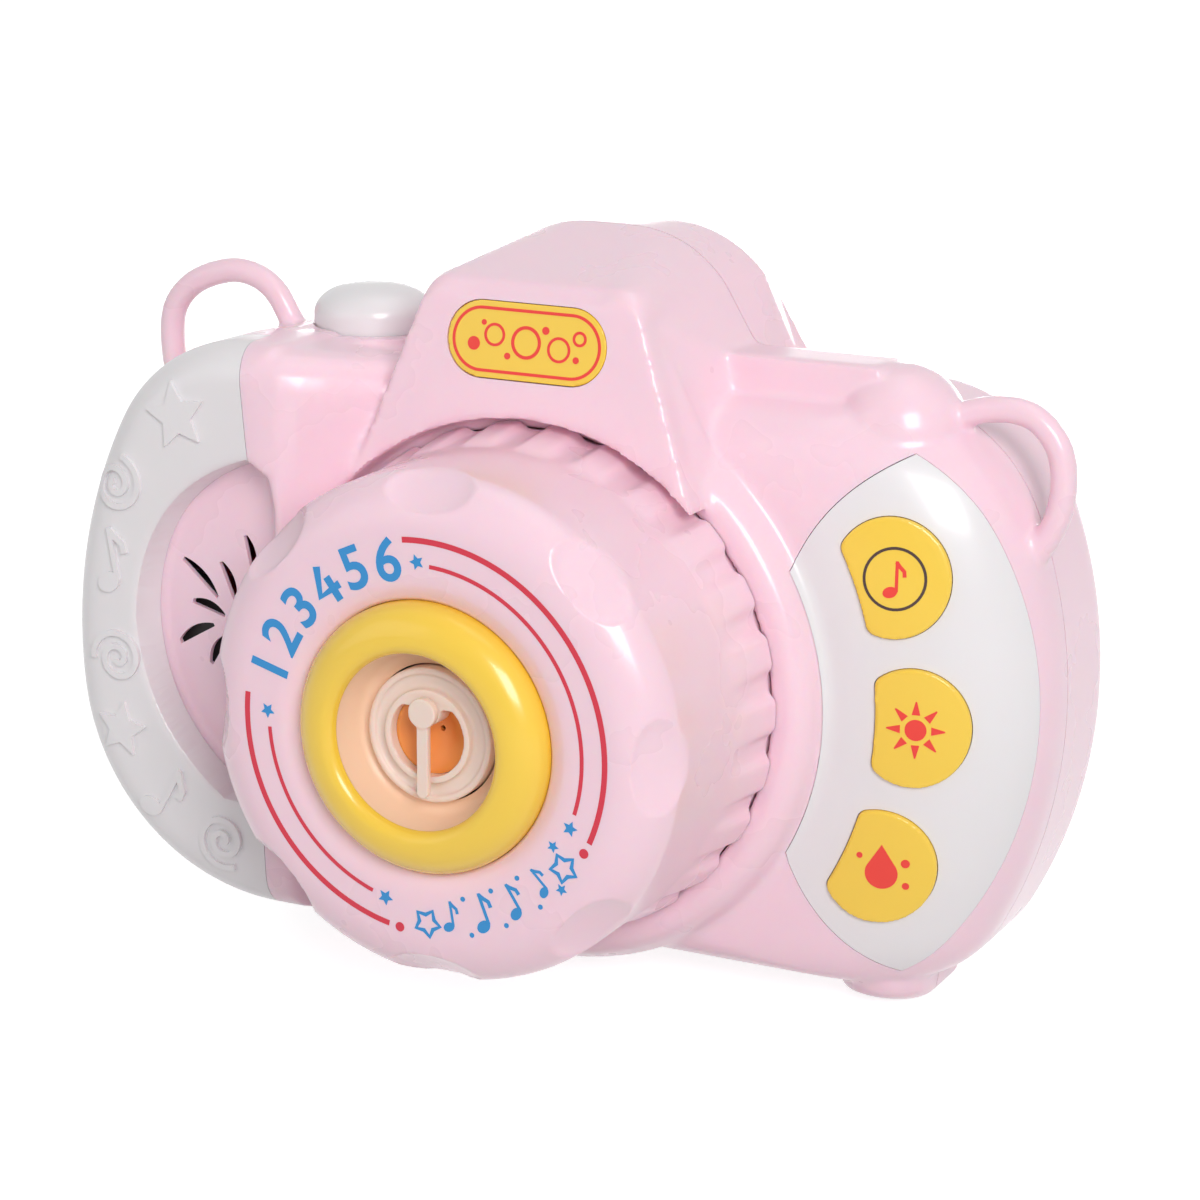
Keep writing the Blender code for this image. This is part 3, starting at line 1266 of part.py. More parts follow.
def fan(hinge):
    room_front = HOUSING_FRONT_Y + HOUSING_WALL
    room_back = HOUSING_BACK_Y - HOUSING_WALL
    back = room_back - 0.8 * MM
    disc = back - FAN_DISC
    front = back - FAN_WIDTH
    made = cylinder("fan_impeller", FAN_RADIUS, at(MOTOR_X, disc, 0), at(MOTOR_X, back, 0), 40)
    join(made, cylinder("fan_hub", HUB_RADIUS, at(MOTOR_X, front, 0), at(MOTOR_X, back - 0.2 * MM, 0), 20))
    for i in range(FAN_BLADES):
        turn = 2 * pi * i / FAN_BLADES
        low = Vector((HUB_RADIUS + 4 * MM, front, -0.5 * MM))
        high = Vector((FAN_RADIUS - 0.5 * MM, disc + FAN_DISC / 2, 0.5 * MM))
        blade = block("fan_blade_%d" % i, low, high)
        spin = Matrix.Translation(at(MOTOR_X, 0, 0)) @ Matrix.Rotation(turn, 4, "Y")
        blade.matrix_world = spin @ blade.matrix_world
        join(made, blade)
    cut(made, cylinder("fan_bore", SHAFT_ROD + GAP, at(MOTOR_X, front - OVERRUN, 0),
                       at(MOTOR_X, back + OVERRUN, 0), 16))
    part(made, "white", hinge)
    shaft_front = max(front, room_front + 0.5 * MM)
    part(cylinder("motor_shaft", SHAFT_ROD, at(MOTOR_X, shaft_front, 0),
                  at(MOTOR_X, PLATE_Y + PLATE_THICKNESS, 0), 16), "steel", hinge)


def gear_outline(teeth, centre, phase):
    """Straight-sided teeth, slimmed for backlash."""
    pitch = GEAR_MODULE * teeth / 2
    tip = pitch + 0.85 * GEAR_MODULE
    root = pitch - 1.25 * GEAR_MODULE
    step = 2 * pi / teeth
    points = []
    for i in range(teeth):
        turn = phase + step * i
        for radius, share in ((root, -0.31), (tip, -0.11), (tip, 0.11), (root, 0.31)):
            angle = turn + share * step
            points.append((centre[0] + radius * cos(angle), centre[1] + radius * sin(angle)))
    return points


def gears(fan_hinge, pump_hinge):
    mesh_angle = radians(GEAR_ANGLE)
    made = slab("motor_pinion", gear_outline(PINION_TEETH, (MOTOR_X, 0), mesh_angle),
                GEAR_FRONT_Y - 0.3 * MM, GEAR_FRONT_Y + GEAR_WIDTH + 0.3 * MM)
    part(cut(made, cylinder("pinion_bore", SHAFT_ROD + GAP, at(MOTOR_X, 0, 0), at(MOTOR_X, REAR_Y, 0), 16)),
         "steel", fan_hinge)
    phase = mesh_angle + pi + pi / GEAR_TEETH
    made = slab("reduction_gear", gear_outline(GEAR_TEETH, (GEAR_X, GEAR_Z), phase),
                GEAR_FRONT_Y, GEAR_FRONT_Y + GEAR_WIDTH)
    crank = Vector((-GEAR_X, WIPER_RISE - GEAR_Z)).normalized() * CRANK_RADIUS
    x, z = GEAR_X + crank.x, GEAR_Z + crank.y
    join(made, cylinder("crank_pin", CRANK_PIN, at(x, GEAR_FRONT_Y - CRANK_PIN_LENGTH, z),
                        at(x, GEAR_FRONT_Y + GEAR_WIDTH / 2, z), 16))
    join(made, cylinder("gear_shaft", GEAR_SHAFT, at(GEAR_X, GEAR_FRONT_Y + GEAR_WIDTH / 2, GEAR_Z),
                        at(GEAR_X, PUMP_Y + PUMP_DEPTH - PUMP_WALL - GAP, GEAR_Z), 16))
    part(made, "white", pump_hinge)


PUMP_Y = PLATE_Y + PLATE_THICKNESS + GAP


def gearbox_plate():
    made = block("gearbox_plate", at(PLATE_LOW[0], PLATE_Y, PLATE_LOW[1]),
                 at(PLATE_HIGH[0], PLATE_Y + PLATE_THICKNESS, PLATE_HIGH[1]))
    for name, radius, x, z in (("plate_motor_hole", SHAFT_ROD + RUN_GAP, MOTOR_X, 0),
                               ("plate_gear_hole", GEAR_SHAFT + RUN_GAP, GEAR_X, GEAR_Z),
                               ("plate_wiper_hole", WIPER_ROD + 2 * MM, 0, WIPER_RISE),
                               ("plate_supply_hole", TUBE_ROD + 1 * MM, SUPPLY_X, SUPPLY_Z)):
        cut(made, cylinder(name, radius, at(x, PLATE_Y - OVERRUN, z), at(x, PLATE_Y + OVERRUN, z), 16))
    part(made, "grey")


def motor_can():
    made = cylinder("motor_can", MOTOR_RADIUS, at(MOTOR_X, PUMP_Y, 0),
                    at(MOTOR_X, PUMP_Y + MOTOR_LENGTH, 0), 32)
    keep(made, block("motor_flats", at(MOTOR_X - FAR, 0, -MOTOR_FLAT), at(MOTOR_X + FAR, REAR_Y, MOTOR_FLAT)))
    cut(made, cylinder("motor_bearing", SHAFT_ROD + RUN_GAP, at(MOTOR_X, PUMP_Y - OVERRUN, 0),
                       at(MOTOR_X, PUMP_Y + 2 * MM, 0), 16))
    part(made, "steel")


def pump(hinge):
    back = PUMP_Y + PUMP_DEPTH
    inner = PUMP_RADIUS - PUMP_WALL
    profile = [(PUMP_RADIUS, PUMP_Y), (PUMP_RADIUS, back), (GEAR_SHAFT + RUN_GAP, back),
               (GEAR_SHAFT + RUN_GAP, back - PUMP_WALL), (inner, back - PUMP_WALL), (inner, PUMP_Y)]
    part(turned("pump_housing", profile, 32, GEAR_X, GEAR_Z), "grey")
    outline = []
    for i in range(36):
        turn = 2 * pi * i / 36
        radius = ROTOR_RADIUS * (0.86 + 0.14 * cos(3 * turn))
        outline.append((GEAR_X + radius * cos(turn), GEAR_Z + radius * sin(turn)))
    made = slab("pump_rotor", outline, PUMP_Y + RUN_GAP, back - PUMP_WALL - RUN_GAP)
    part(cut(made, cylinder("rotor_bore", GEAR_SHAFT + GAP, at(GEAR_X, PUMP_Y - OVERRUN, GEAR_Z),
                            at(GEAR_X, back + OVERRUN, GEAR_Z), 16)), "white", hinge)


SUPPLY_X = -5 * MM
SUPPLY_Z = 4 * MM


def tubes():
    """Soap tubes: tank to pump, and pump to nozzle."""
    middle = PUMP_Y + PUMP_DEPTH / 2
    reach = PUMP_RADIUS + GAP
    start = TANK_BACK_Y + TANK_WALL + 3 * GAP
    suction = [(TUBE_IN_X, start, TUBE_IN_Z), (TUBE_IN_X, FACE_Y, TUBE_IN_Z),
               (TUBE_IN_X, HOUSING_FRONT_Y, TUBE_IN_Z), (TUBE_IN_X, middle - 8 * MM, TUBE_IN_Z),
               (TUBE_IN_X + 1.5 * MM, middle - 3 * MM, TUBE_IN_Z),
               (TUBE_IN_X + 5 * MM, middle, GEAR_Z - 3 * MM), (TUBE_IN_X + 11 * MM, middle, GEAR_Z),
               (GEAR_X - reach, middle, GEAR_Z)]
    part(rod("suction_tube", [at(*p) for p in smooth(suction, 3)], TUBE_ROD), "clear")
    supply = [(SUPPLY_X, DUCT_FRONT_Y + 2 * GAP, SUPPLY_Z), (SUPPLY_X, DUCT_BACK_Y, SUPPLY_Z),
              (SUPPLY_X, HOUSING_BACK_Y, SUPPLY_Z), (SUPPLY_X, PLATE_Y + PLATE_THICKNESS, SUPPLY_Z),
              (SUPPLY_X + 1 * MM, middle - 1 * MM, SUPPLY_Z - 0.5 * MM),
              (SUPPLY_X + 7 * MM, middle, SUPPLY_Z - 1.5 * MM),
              (GEAR_X, middle, GEAR_Z + reach + 5 * MM), (GEAR_X, middle, GEAR_Z + reach)]
    part(rod("supply_tube", [at(*p) for p in smooth(supply, 3)], TUBE_ROD), "clear")


# Power and sound
def power():
    made = block("battery_tray", at(TRAY_LEFT_X + GAP, TRAY_FLOOR_Y, GAP - TRAY_TALL),
                 at(TRAY_RIGHT_X - GAP, TRAY_BACK_Y, TRAY_TALL - GAP))
    cut(made, block("tray_room", at(TRAY_LEFT_X + TRAY_WALL, TRAY_FLOOR_Y + TRAY_WALL, TRAY_WALL - TRAY_TALL),
                    at(TRAY_RIGHT_X - TRAY_WALL, TRAY_BACK_Y + OVERRUN, TRAY_TALL - TRAY_WALL)))
    part(made, "black")
    cell_y = TRAY_FLOOR_Y + TRAY_WALL + GAP + CELL_RADIUS
    left = TRAY_LEFT_X + TRAY_WALL
    right = TRAY_RIGHT_X - TRAY_WALL
    for index in range(CELLS):
        z = (index - (CELLS - 1) / 2) * CELL_PITCH
        nub_end = right - 2 * GAP - CONTACT_PLATE
        body_end = nub_end - CELL_NUB_LENGTH
        made = cylinder("battery_%d" % (index + 1), CELL_RADIUS, at(body_end - CELL_LENGTH, cell_y, z),
                        at(body_end, cell_y, z), 24)
        join(made, cylinder("battery_nub_%d" % index, CELL_NUB, at(body_end - 1 * MM, cell_y, z),
                            at(nub_end, cell_y, z), 16))
        part(made, "black")
        coil = []
        start = left + 2 * GAP + CONTACT_PLATE + SPRING_WIRE
        end = body_end - CELL_LENGTH - GAP - SPRING_WIRE
        for i in range(25):
            turn = 2 * pi * i / 8
            wide = CELL_RADIUS * (0.62 - 0.25 * i / 24)
            coil.append(at(start + (end - start) * i / 24, cell_y + wide * cos(turn), z + wide * sin(turn)))
        part(rod("contact_spring_%d" % (index + 1), coil, SPRING_WIRE, 0), "steel")
    tall = TRAY_TALL - TRAY_WALL - GAP
    for name, x in (("contact_plate_left", left + GAP), ("contact_plate_right", right - GAP - CONTACT_PLATE)):
        part(block(name, at(x, TRAY_FLOOR_Y + TRAY_WALL + GAP, -tall),
                   at(x + CONTACT_PLATE, TRAY_BACK_Y - 2 * MM, tall)), "steel")


def battery_door():
    inner = REAR_Y - DOOR_THICKNESS
    lip = REAR_Y - DOOR_THICKNESS / 2
    made = block("battery_door", at(TRAY_LEFT_X - DOOR_LIP + DOOR_GAP, lip, -TRAY_TALL - DOOR_LIP + DOOR_GAP),
                 at(TRAY_RIGHT_X + DOOR_LIP - DOOR_GAP, REAR_Y, TRAY_TALL + DOOR_LIP - DOOR_GAP))
    plug = block("door_plug", at(TRAY_LEFT_X + DOOR_GAP, inner, -TRAY_TALL + DOOR_GAP),
                 at(TRAY_RIGHT_X - DOOR_GAP, lip + DOOR_THICKNESS / 4, TRAY_TALL - DOOR_GAP))
    join(made, plug)
    hinge = pivot("pivot_door", at((TRAY_LEFT_X + TRAY_RIGHT_X) / 2, REAR_Y, 0))
    x = TRAY_RIGHT_X - TRAY_WALL - 3 * MM
    cut(made, cylinder("door_screw_sink", SCREW_HEAD + GAP, at(x, REAR_Y - DOOR_THICKNESS / 2, 0),
                       at(x, REAR_Y + OVERRUN, 0), 16))
    part(made, "pink", hinge)
    made = cylinder("door_screw", SCREW_HEAD, at(x, REAR_Y - DOOR_THICKNESS / 2 + GAP, 0),
                    at(x, REAR_Y - 0.1 * MM, 0), 16)
    cut(made, block("screw_cross", at(x - SCREW_HEAD / 2, REAR_Y - 0.5 * MM, -0.4 * MM),
                    at(x + SCREW_HEAD / 2, REAR_Y + OVERRUN, 0.4 * MM)))
    part(made, "steel", hinge)


def electronics():
    part(block("circuit_board", at(MAIN_BOARD[0], MAIN_BOARD_Y[0], MAIN_BOARD_Z),
               at(MAIN_BOARD[1], MAIN_BOARD_Y[1], MAIN_BOARD_Z + BOARD_THICKNESS)), "green")
    x, z = SPEAKER_AT
    front = RECESS_FLOOR_Y + GAP + WALL + GAP
    profile = [(0, front), (SPEAKER_RADIUS, front), (SPEAKER_RADIUS, front + 2 * MM),
               (SPEAKER_RADIUS * 0.6, front + SPEAKER_DEPTH * 0.6),
               (SPEAKER_RADIUS * 0.6, front + SPEAKER_DEPTH),
               (0, front + SPEAKER_DEPTH)]
    part(turned("speaker", profile, 32, x, z), "black")


def build():
    front_shell()
    rear_shell()
    grip_ring()
    side_panel()
    for index in range(3):
        key(index)
    key_board()
    shutter()
    badge_plate()
    strap_loop("strap_loop_right", 1, RIGHT_LOOP_Y, RIGHT_LOOP)
    strap_loop("strap_loop_left", -1, LEFT_LOOP_Y, LEFT_LOOP)
    lens_hinge = pivot("pivot_lens", at(0, LENS_BACK_Y, 0))
    lens_barrel(lens_hinge)
    lens_bezel(lens_hinge)
    lens_cup(lens_hinge)
    solution_tank(lens_hinge)
    air_duct()
    bubble_nozzle()
    wiper()
    fan_housing()
    fan_hinge = pivot("pivot_fan", at(MOTOR_X, PLATE_Y, 0))
    pump_hinge = pivot("pivot_pump", at(GEAR_X, PLATE_Y, GEAR_Z))
    fan(fan_hinge)
    gears(fan_hinge, pump_hinge)
    gearbox_plate()
    motor_can()
    pump(pump_hinge)
    tubes()
    power()
    battery_door()
    electronics()
    case_screws()


build()
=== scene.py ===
"""Looks of the bubble camera toy: smooth moulded skins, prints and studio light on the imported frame.

Frame: metres, +Z up. The lens faces -Y and its axis is AXIS_Z above the ground.
Outlines are (x, z) pairs measured from the lens axis.
"""
import json
from math import asin, atan2, cos, hypot, pi, radians, sin, sqrt

import bmesh
import bpy
from mathutils import Matrix, Vector
from mathutils.bvhtree import BVHTree


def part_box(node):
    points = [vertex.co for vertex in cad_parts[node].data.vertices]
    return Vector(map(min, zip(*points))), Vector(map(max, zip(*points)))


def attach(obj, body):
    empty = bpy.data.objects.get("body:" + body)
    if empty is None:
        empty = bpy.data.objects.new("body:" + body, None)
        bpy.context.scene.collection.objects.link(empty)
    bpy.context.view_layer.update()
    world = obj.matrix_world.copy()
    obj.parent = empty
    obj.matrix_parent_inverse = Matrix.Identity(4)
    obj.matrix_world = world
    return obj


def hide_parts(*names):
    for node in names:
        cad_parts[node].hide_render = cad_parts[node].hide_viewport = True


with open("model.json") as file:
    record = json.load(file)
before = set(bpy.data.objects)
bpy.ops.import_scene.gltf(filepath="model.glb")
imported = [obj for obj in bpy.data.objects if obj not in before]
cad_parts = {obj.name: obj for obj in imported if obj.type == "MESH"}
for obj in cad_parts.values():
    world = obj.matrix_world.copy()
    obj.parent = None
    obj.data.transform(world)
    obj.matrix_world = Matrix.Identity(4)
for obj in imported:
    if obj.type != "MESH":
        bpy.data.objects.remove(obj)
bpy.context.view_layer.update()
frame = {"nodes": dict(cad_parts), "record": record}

MM = 0.001

# Body
AXIS_Z = 57 * MM
BODY_RADIUS = 90 * MM
BODY_TOP = 53 * MM
BODY_BOTTOM = 53 * MM
TOP_CORNER = 30 * MM
BOTTOM_CORNER = 20 * MM
GRIP_CORNER = 42 * MM
SEAM_Y = 24 * MM
FACE_Y = 2 * MM
REAR_Y = 49 * MM
REAR_ROUND = 8 * MM
SIDE_ROUND = 36 * MM
TOP_ROUND = 13 * MM
BOTTOM_ROUND = 8 * MM
ROUND_POWER = 2.4
WALL = 2.4 * MM
GAP = 0.3 * MM
KEY_GAP = 0.35 * MM
TRIM_GAP = 0.12 * MM
OVERRUN = 4 * MM
FAR = 122 * MM

# White trim and grip
SKIN = 2.2 * MM
TRIM_EDGE_Y = 11 * MM
GRIP_Y = -20 * MM
GRIP_ROUND = 7 * MM
GRIP_INNER_RADIUS = 54.5 * MM
GRIP_TOP_X = 46 * MM
GRIP_LOW_X = 40 * MM
GRIP_RISE = 6 * MM
GRIP_LIFT = 5.3 * MM
GRIP_END_SLANT = 0.1
RECESS_DEPTH = 7 * MM
RECESS_TOP = (-50 * MM, 36.4 * MM)
RECESS_LEFT = (-73 * MM, 6 * MM)
RECESS_BOTTOM = (-56 * MM, -25 * MM)
RECESS_UPPER_BOW = 6.9 * MM
RECESS_LOWER_BOW = 4.6 * MM
RECESS_RIGHT_X = -48.5 * MM
RECESS_RIGHT_SLOPE = 4
RECESS_RIGHT_LOW = 20 * MM
RECESS_RIGHT_HIGH = 29 * MM
RECESS_RUN = 26 * MM
RECESS_RUN_Z = 10 * MM
RECESS_DRAFT = 1.2 * MM
RECESS_FLOOR_Y = GRIP_Y + RECESS_DEPTH
GRIP_TOP_END = 49 * MM
GRIP_BOTTOM_END = 46 * MM
GRIP_EDGE_Z = 36 * MM
GRIP_EDGE_LEAD = 12 * MM
GRIP_END_LEAN = 3 * MM
GRIP_END_Z = 32 * MM
SLOT_WIDTH = 1.9 * MM
SLOT_BEND = 0.6 * MM
SPEAKER_X = -60 * MM
SPEAKER_Z = 8 * MM
SPEAKER_ROOM = 15 * MM
SLOTS = (((-68.2, 16.2), (-60.9, 9.6)), ((-60, 16.4), (-57.1, 9.4)), ((-54.6, 22), (-53.2, 14.9)),
         ((-66.3, 8.3), (-59.4, 6.3)), ((-69.3, 0.1), (-61.8, 4.3)), ((-62.6, -3.2), (-58.8, 2.7)))

# Bridge between grip and hood: plan points (x, y) and levels (height, set back), in millimetres
BRIDGE_BACK = 20
BRIDGE_PLAN = ((-54, -19.95), (-48, -19.9), (-44, -19.2), (-40.5, -17.2), (-37, -14), (-33, -9.6),
               (-28, -4.5), (-22, 1), (-22, BRIDGE_BACK), (-54, BRIDGE_BACK))
BRIDGE_LEVELS = ((14, 0), (51, 0), (54, 0.65), (56, 2.1), (57.3, 4.2), (57.9, 7))
BRIDGE_EDGE_X = -48
BRIDGE_SPREAD = 0.02
BRIDGE_FALL_Z = 44
BRIDGE_FALL = 0.012

# Hood
HOOD_Y = -11 * MM
HOOD_LEAN = 0.13
HOOD_TIP = (33.5 * MM, 35 * MM)
HOOD_SHOULDER = (22 * MM, 66 * MM)
HOOD_TOP = 72.5 * MM
HUMP_TOP = 78.3 * MM
HUMP_SIDE = (32.8 * MM, 53.5 * MM)
HUMP_SHOULDER = (25 * MM, 69.5 * MM)
HUMP_REAR_Y = 46 * MM
WELL_RADIUS = 48.1 * MM
BADGE_LENGTH = 31 * MM
BADGE_HEIGHT = 13.5 * MM
BADGE_DEPTH = 1.5 * MM
BADGE_Z = 61.5 * MM

# Band, dome, shutter boss, feet and loops
BAND_TOP = 59 * MM
BAND_FRONT_Y = 13.4 * MM
BAND_BACK_Y = 25 * MM
BAND_END_X = 57 * MM
DOME_AT = (59.2 * MM, 20 * MM, 47.2 * MM)
DOME_RADIUS = 11.7 * MM
SHUTTER_AT = (-44 * MM, 16 * MM)
BOSS_RADIUS = 14.5 * MM
BOSS_TOP = 57 * MM
BOSS_DEPTH = 15 * MM
BOSS_FLOOR = 3 * MM
BOSS_STEP = 1 * MM
SHUTTER_RADIUS = 11.2 * MM
SHUTTER_TOP = 65.2 * MM
SHUTTER_DOME = 5.6 * MM
SHUTTER_SKIRT = 8.6 * MM
SHUTTER_TRAVEL = 4 * MM
SHUTTER_WALL = 1.6 * MM
SHUTTER_STEM = 3 * MM
FOOT_X = 60 * MM
FOOT_WIDTH = 16 * MM
FOOT_FRONT_Y = 10 * MM
FOOT_BACK_Y = 42 * MM
# Levels of a foot: height, inset and set back of its front, in millimetres
FOOT_LEVELS = ((0, 1.2, 8), (0.8, 0.4, 5), (2.6, 0, 1), ((AXIS_Z - BODY_BOTTOM) / MM + 1.2, 0, 0))
RIGHT_LOOP_Y = 20 * MM
LEFT_LOOP_Y = 16 * MM
LOOP_ROD = 2.4 * MM
RIGHT_LOOP = ((63, 45), (67.5, 49.5), (75, 52.3), (82.5, 52), (87.4, 47.5), (88.9, 41), (87.8, 34),
              (84.5, 28), (80, 23))
LEFT_LOOP = ((-57, 46), (-59.6, 52), (-62.6, 57.4), (-65.4, 61.6), (-69.4, 64.2), (-75, 64.9), (-82.3, 62.6),
             (-87, 58.6), (-88.8, 53.4), (-88.2, 45), (-85.5, 36), (-80, 28))

# Side panel and keys
PANEL_INNER_RADIUS = 53.6 * MM
PANEL_NEAR = (47.5 * MM, 27.5 * MM)
PANEL_FAR = (67.4 * MM, 47.2 * MM)
PANEL_BULGE = 2.6 * MM
PANEL_EDGE_Y = 9.2 * MM
PANEL_EDGE_BOW = 5.8 * MM
PANEL_MIDDLE_Z = -1 * MM
KEY_RING = 68.6 * MM
KEY_STEP = 22
KEY_RADIUS = 10.6 * MM
KEY_INNER = 6.8 * MM
KEY_CORNER = 2 * MM
KEY_PROUD = 0.8 * MM
KEY_THICKNESS = 1.7 * MM
KEY_TRAVEL = 1.2 * MM
KEY_TILT = 16
KEY_STEM = 2.4 * MM
KEY_STEM_END_Y = 11.2 * MM
KEY_NAMES = ("key_top", "key_middle", "key_bottom")

# Lens
COLLAR_RADIUS = 52.8 * MM
COLLAR_Y = -2.2 * MM
COLLAR_MOUTH = 45.6 * MM
COLLAR_CREST = 49.4 * MM
COLLAR_CREST_Y = -3.8 * MM
LENS_BACK_Y = -4.5 * MM
LENS_NECK = 45.2 * MM
LENS_FACE_Y = -44.6 * MM
LENS_SKIN = 2.2 * MM
LENS_PADS = 26
PAD_RISE = 1.3 * MM
SKIRT_FLARE = 0.8 * MM
PAD_LENGTH = 13 * MM
SKIRT_Y = -3.7 * MM
DIMPLES = 8
DIMPLE_DEPTH = 1.9 * MM
DIMPLE_PLACE = 0.36
DIMPLE_TURN = 0.5
DIMPLE_HALF_LENGTH = 5.4 * MM
DIMPLE_HALF_WIDTH = 8.2 * MM
LENS_MOUTH = 23.8 * MM
LENS_LIP = LENS_MOUTH + 3.4 * MM
BARREL_RADIUS = 44.7 * MM
SHOULDER_START = 0.8
SHOULDER_DROP = 9.6 * MM
BEZEL_RADIUS = 23.7 * MM
BEZEL_CREST = 17.6 * MM
BEZEL_BORE = 15.4 * MM
BEZEL_FRONT_Y = -48.88 * MM
BEZEL_EDGE_Y = -43.6 * MM
BEZEL_LIP_Y = -46.8 * MM
BEZEL_BACK_Y = -39.5 * MM
CUP_BACK_Y = -40 * MM
CUP_WALL = 1.2 * MM
TANK_INNER = 13.4 * MM
TANK_BACK_Y = -12 * MM
TANK_FLANGE = 42 * MM
DUCT_FRONT_Y = -36 * MM
DUCT_RADIUS = 10.6 * MM
NOZZLE_RADIUS = 11.8 * MM
NOZZLE_BORE = 7 * MM
NOZZLE_FRONT_Y = -43 * MM
NOZZLE_WEB = 1.2 * MM
NOZZLE_RIM = 1.2 * MM
NOZZLE_STEP = 0.8 * MM
LINER_HOLE = 0.5 * MM
WIPER_RISE = 4.5 * MM
WIPER_LENGTH = 15 * MM
WIPER_WIDTH = 2.2 * MM
WIPER_THICKNESS = 1.6 * MM
WIPER_HUB = 2.6 * MM
WIPER_ROD = 1 * MM
RUN_GAP = 0.3 * MM

# Battery door and screws
CELL_LENGTH = 49 * MM
TRAY_RIGHT_X = -17.5 * MM
TRAY_LEFT_X = TRAY_RIGHT_X - CELL_LENGTH - 8.4 * MM
TRAY_TALL = 24.3 * MM
DOOR_THICKNESS = 2 * MM
DOOR_LIP = 2 * MM
DOOR_GAP = 0.4 * MM
DOOR_CORNER = 2.5 * MM
DOOR_GROOVES = 6
DOOR_GROOVE = 26 * MM
DOOR_GROOVE_PITCH = 3 * MM
DOOR_GROOVE_START = 5 * MM
DOOR_GROOVE_RADIUS = 1.2 * MM
DOOR_GROOVE_LIFT = 0.65 * MM
DOOR_SCREW_X = -22 * MM
SCREW_ROD = 1.3 * MM
SCREW_HEAD = 2.8 * MM
SCREW_BOSS = 4.2 * MM
SCREW_RING = 83.4 * MM
SCREW_ANGLE = 22
SCREW_LOW_X = 30 * MM
SCREW_SEAT_Y = REAR_Y - 9 * MM

# Prints and raised ornaments, with flat sizes in millimetres and angles in degrees
PRINT_LIFT = 0.06 * MM
PRINT_SINK = 0.15 * MM
PRINT_HALF = 1.5 * MM
LENS_PRINT_HALF = 2.2 * MM
KEY_PRINT_HALF = 2.5 * MM
RAISED_LIFT = 0.7 * MM
RAISED_SINK = 0.3 * MM
RAISED_HALF = 2.6 * MM
GRIP_STARS = ((6.4, -64, 44.5, 12), (5.4, -77.8, -16, -8))
GRIP_NOTES = ((-79, 16.5, 10), (-68.5, -27, -30))
GRIP_NOTE = 11.5
GRIP_SPIRALS = ((-77.6, 30.6, 40), (-78.2, -2.4, 150), (-56, -34.4, 260))
LENS_ARCS = ((34.5, 174, 259, 1), (34.3, 96, -23, 1), (30.1, 184, 251, 0.7), (30.1, 87, -17, 0.7))
LENS_DOTS = ((34.5, 262.5), (34.2, -26.5))
LENS_STARS = ((30.4, 178.5, 1.4), (30.6, 91.5, 1.4), (30.2, 256, 1.5), (30.2, -22, 1.4), (29, -31, 1.1),
              (34.6, -40, 1.1))
LENS_OPEN_STARS = ((32.6, -88.5), (32.6, -34.5))
LENS_NOTES = ((-80, 5.2), (-68, 6.6), (-56, 6), (-44, 5))
LENS_NOTE_RING = 31
LENS_SPECKS = ((34.6, -74), (34.4, -62), (34.4, -49), (28.2, -74), (28, -62), (28.2, -50))
LENS_DIGITS = (("1", 164), ("2", 152), ("3", 139.5), ("5", 114.5), ("6", 102))
LENS_FOUR = 127
DIGIT_RING = 30.6
DIGIT_HEIGHT = 7.4
FOUR_HEIGHT = 7
SUN_RAYS = 8
DROP_BUBBLES = ((4.2, 1.4, 0.8), (-3.9, 2.2, 0.55), (4.3, -2.9, 0.65))
BADGE_BORDER = 2.6
BADGE_RINGS = ((-6.2, 0.9, 1.8), (6.4, -0.7, 2), (10.3, 1.5, 1.1))
BADGE_DOTS = ((-10.2, -0.9, 1.2), (-3.5, -2.6, 0.6), (3.7, 2.4, 0.7), (9.8, -2.2, 0.6), (-8.4, 2.9, 0.5))

# Surface resolution of the smoothed mouldings
SKIN_VOXEL = 0.75 * MM
SKIN_SMOOTHING = 5
FINE_VOXEL = 0.3 * MM
LENS_SEGMENTS = LENS_PADS * 16


# Modelling helpers
def link(name, data):
    """Put data in the scene as an object."""
    made = bpy.data.objects.new(name, data)
    bpy.context.scene.collection.objects.link(made)
    return made


def add(name, bm, matrix=None):
    """Add a closed mesh to the scene."""
    bmesh.ops.recalc_face_normals(bm, faces=bm.faces)
    mesh = bpy.data.meshes.new(name)
    bm.to_mesh(mesh)
    bm.free()
    mesh.transform(matrix or Matrix())
    return link(name, mesh)


def result_mesh(made):
    """Mesh that an object's curve or modifiers give."""
    bpy.context.view_layer.update()
    graph = bpy.context.evaluated_depsgraph_get()
    return bpy.data.meshes.new_from_object(made.evaluated_get(graph))


def bake(made):
    """Turn the result of an object's modifiers into its mesh."""
    mesh = result_mesh(made)
    made.modifiers.clear()
    old = made.data
    made.data = mesh
    bpy.data.meshes.remove(old)
    return made


def solid_of(curve, merge, matrix=None):
    """Closed mesh of a curve, with points nearer than a distance merged."""
    holder = link(curve.name, curve)
    mesh = result_mesh(holder)
    bpy.data.objects.remove(holder)
    bm = bmesh.new()
    bm.from_mesh(mesh)
    bmesh.ops.remove_doubles(bm, verts=bm.verts, dist=merge)
    bpy.data.meshes.remove(mesh)
    return add(curve.name, bm, matrix)


def combine(made, operation, *tools):
    """Apply Booleans with closed tools, which are used up."""
    for tool in tools:
        change = made.modifiers.new(tool.name, "BOOLEAN")
        change.object = tool
        change.operation = operation
        change.solver = "MANIFOLD"
    bake(made)
    for tool in tools:
        bpy.data.objects.remove(tool)
    return made


def cut(made, *tools):
    return combine(made, "DIFFERENCE", *tools)


def join(made, *tools):
    return combine(made, "UNION", *tools)


def keep(made, *tools):
    return combine(made, "INTERSECT", *tools)


def copy_of(made, name):
    return link(name, made.data.copy())


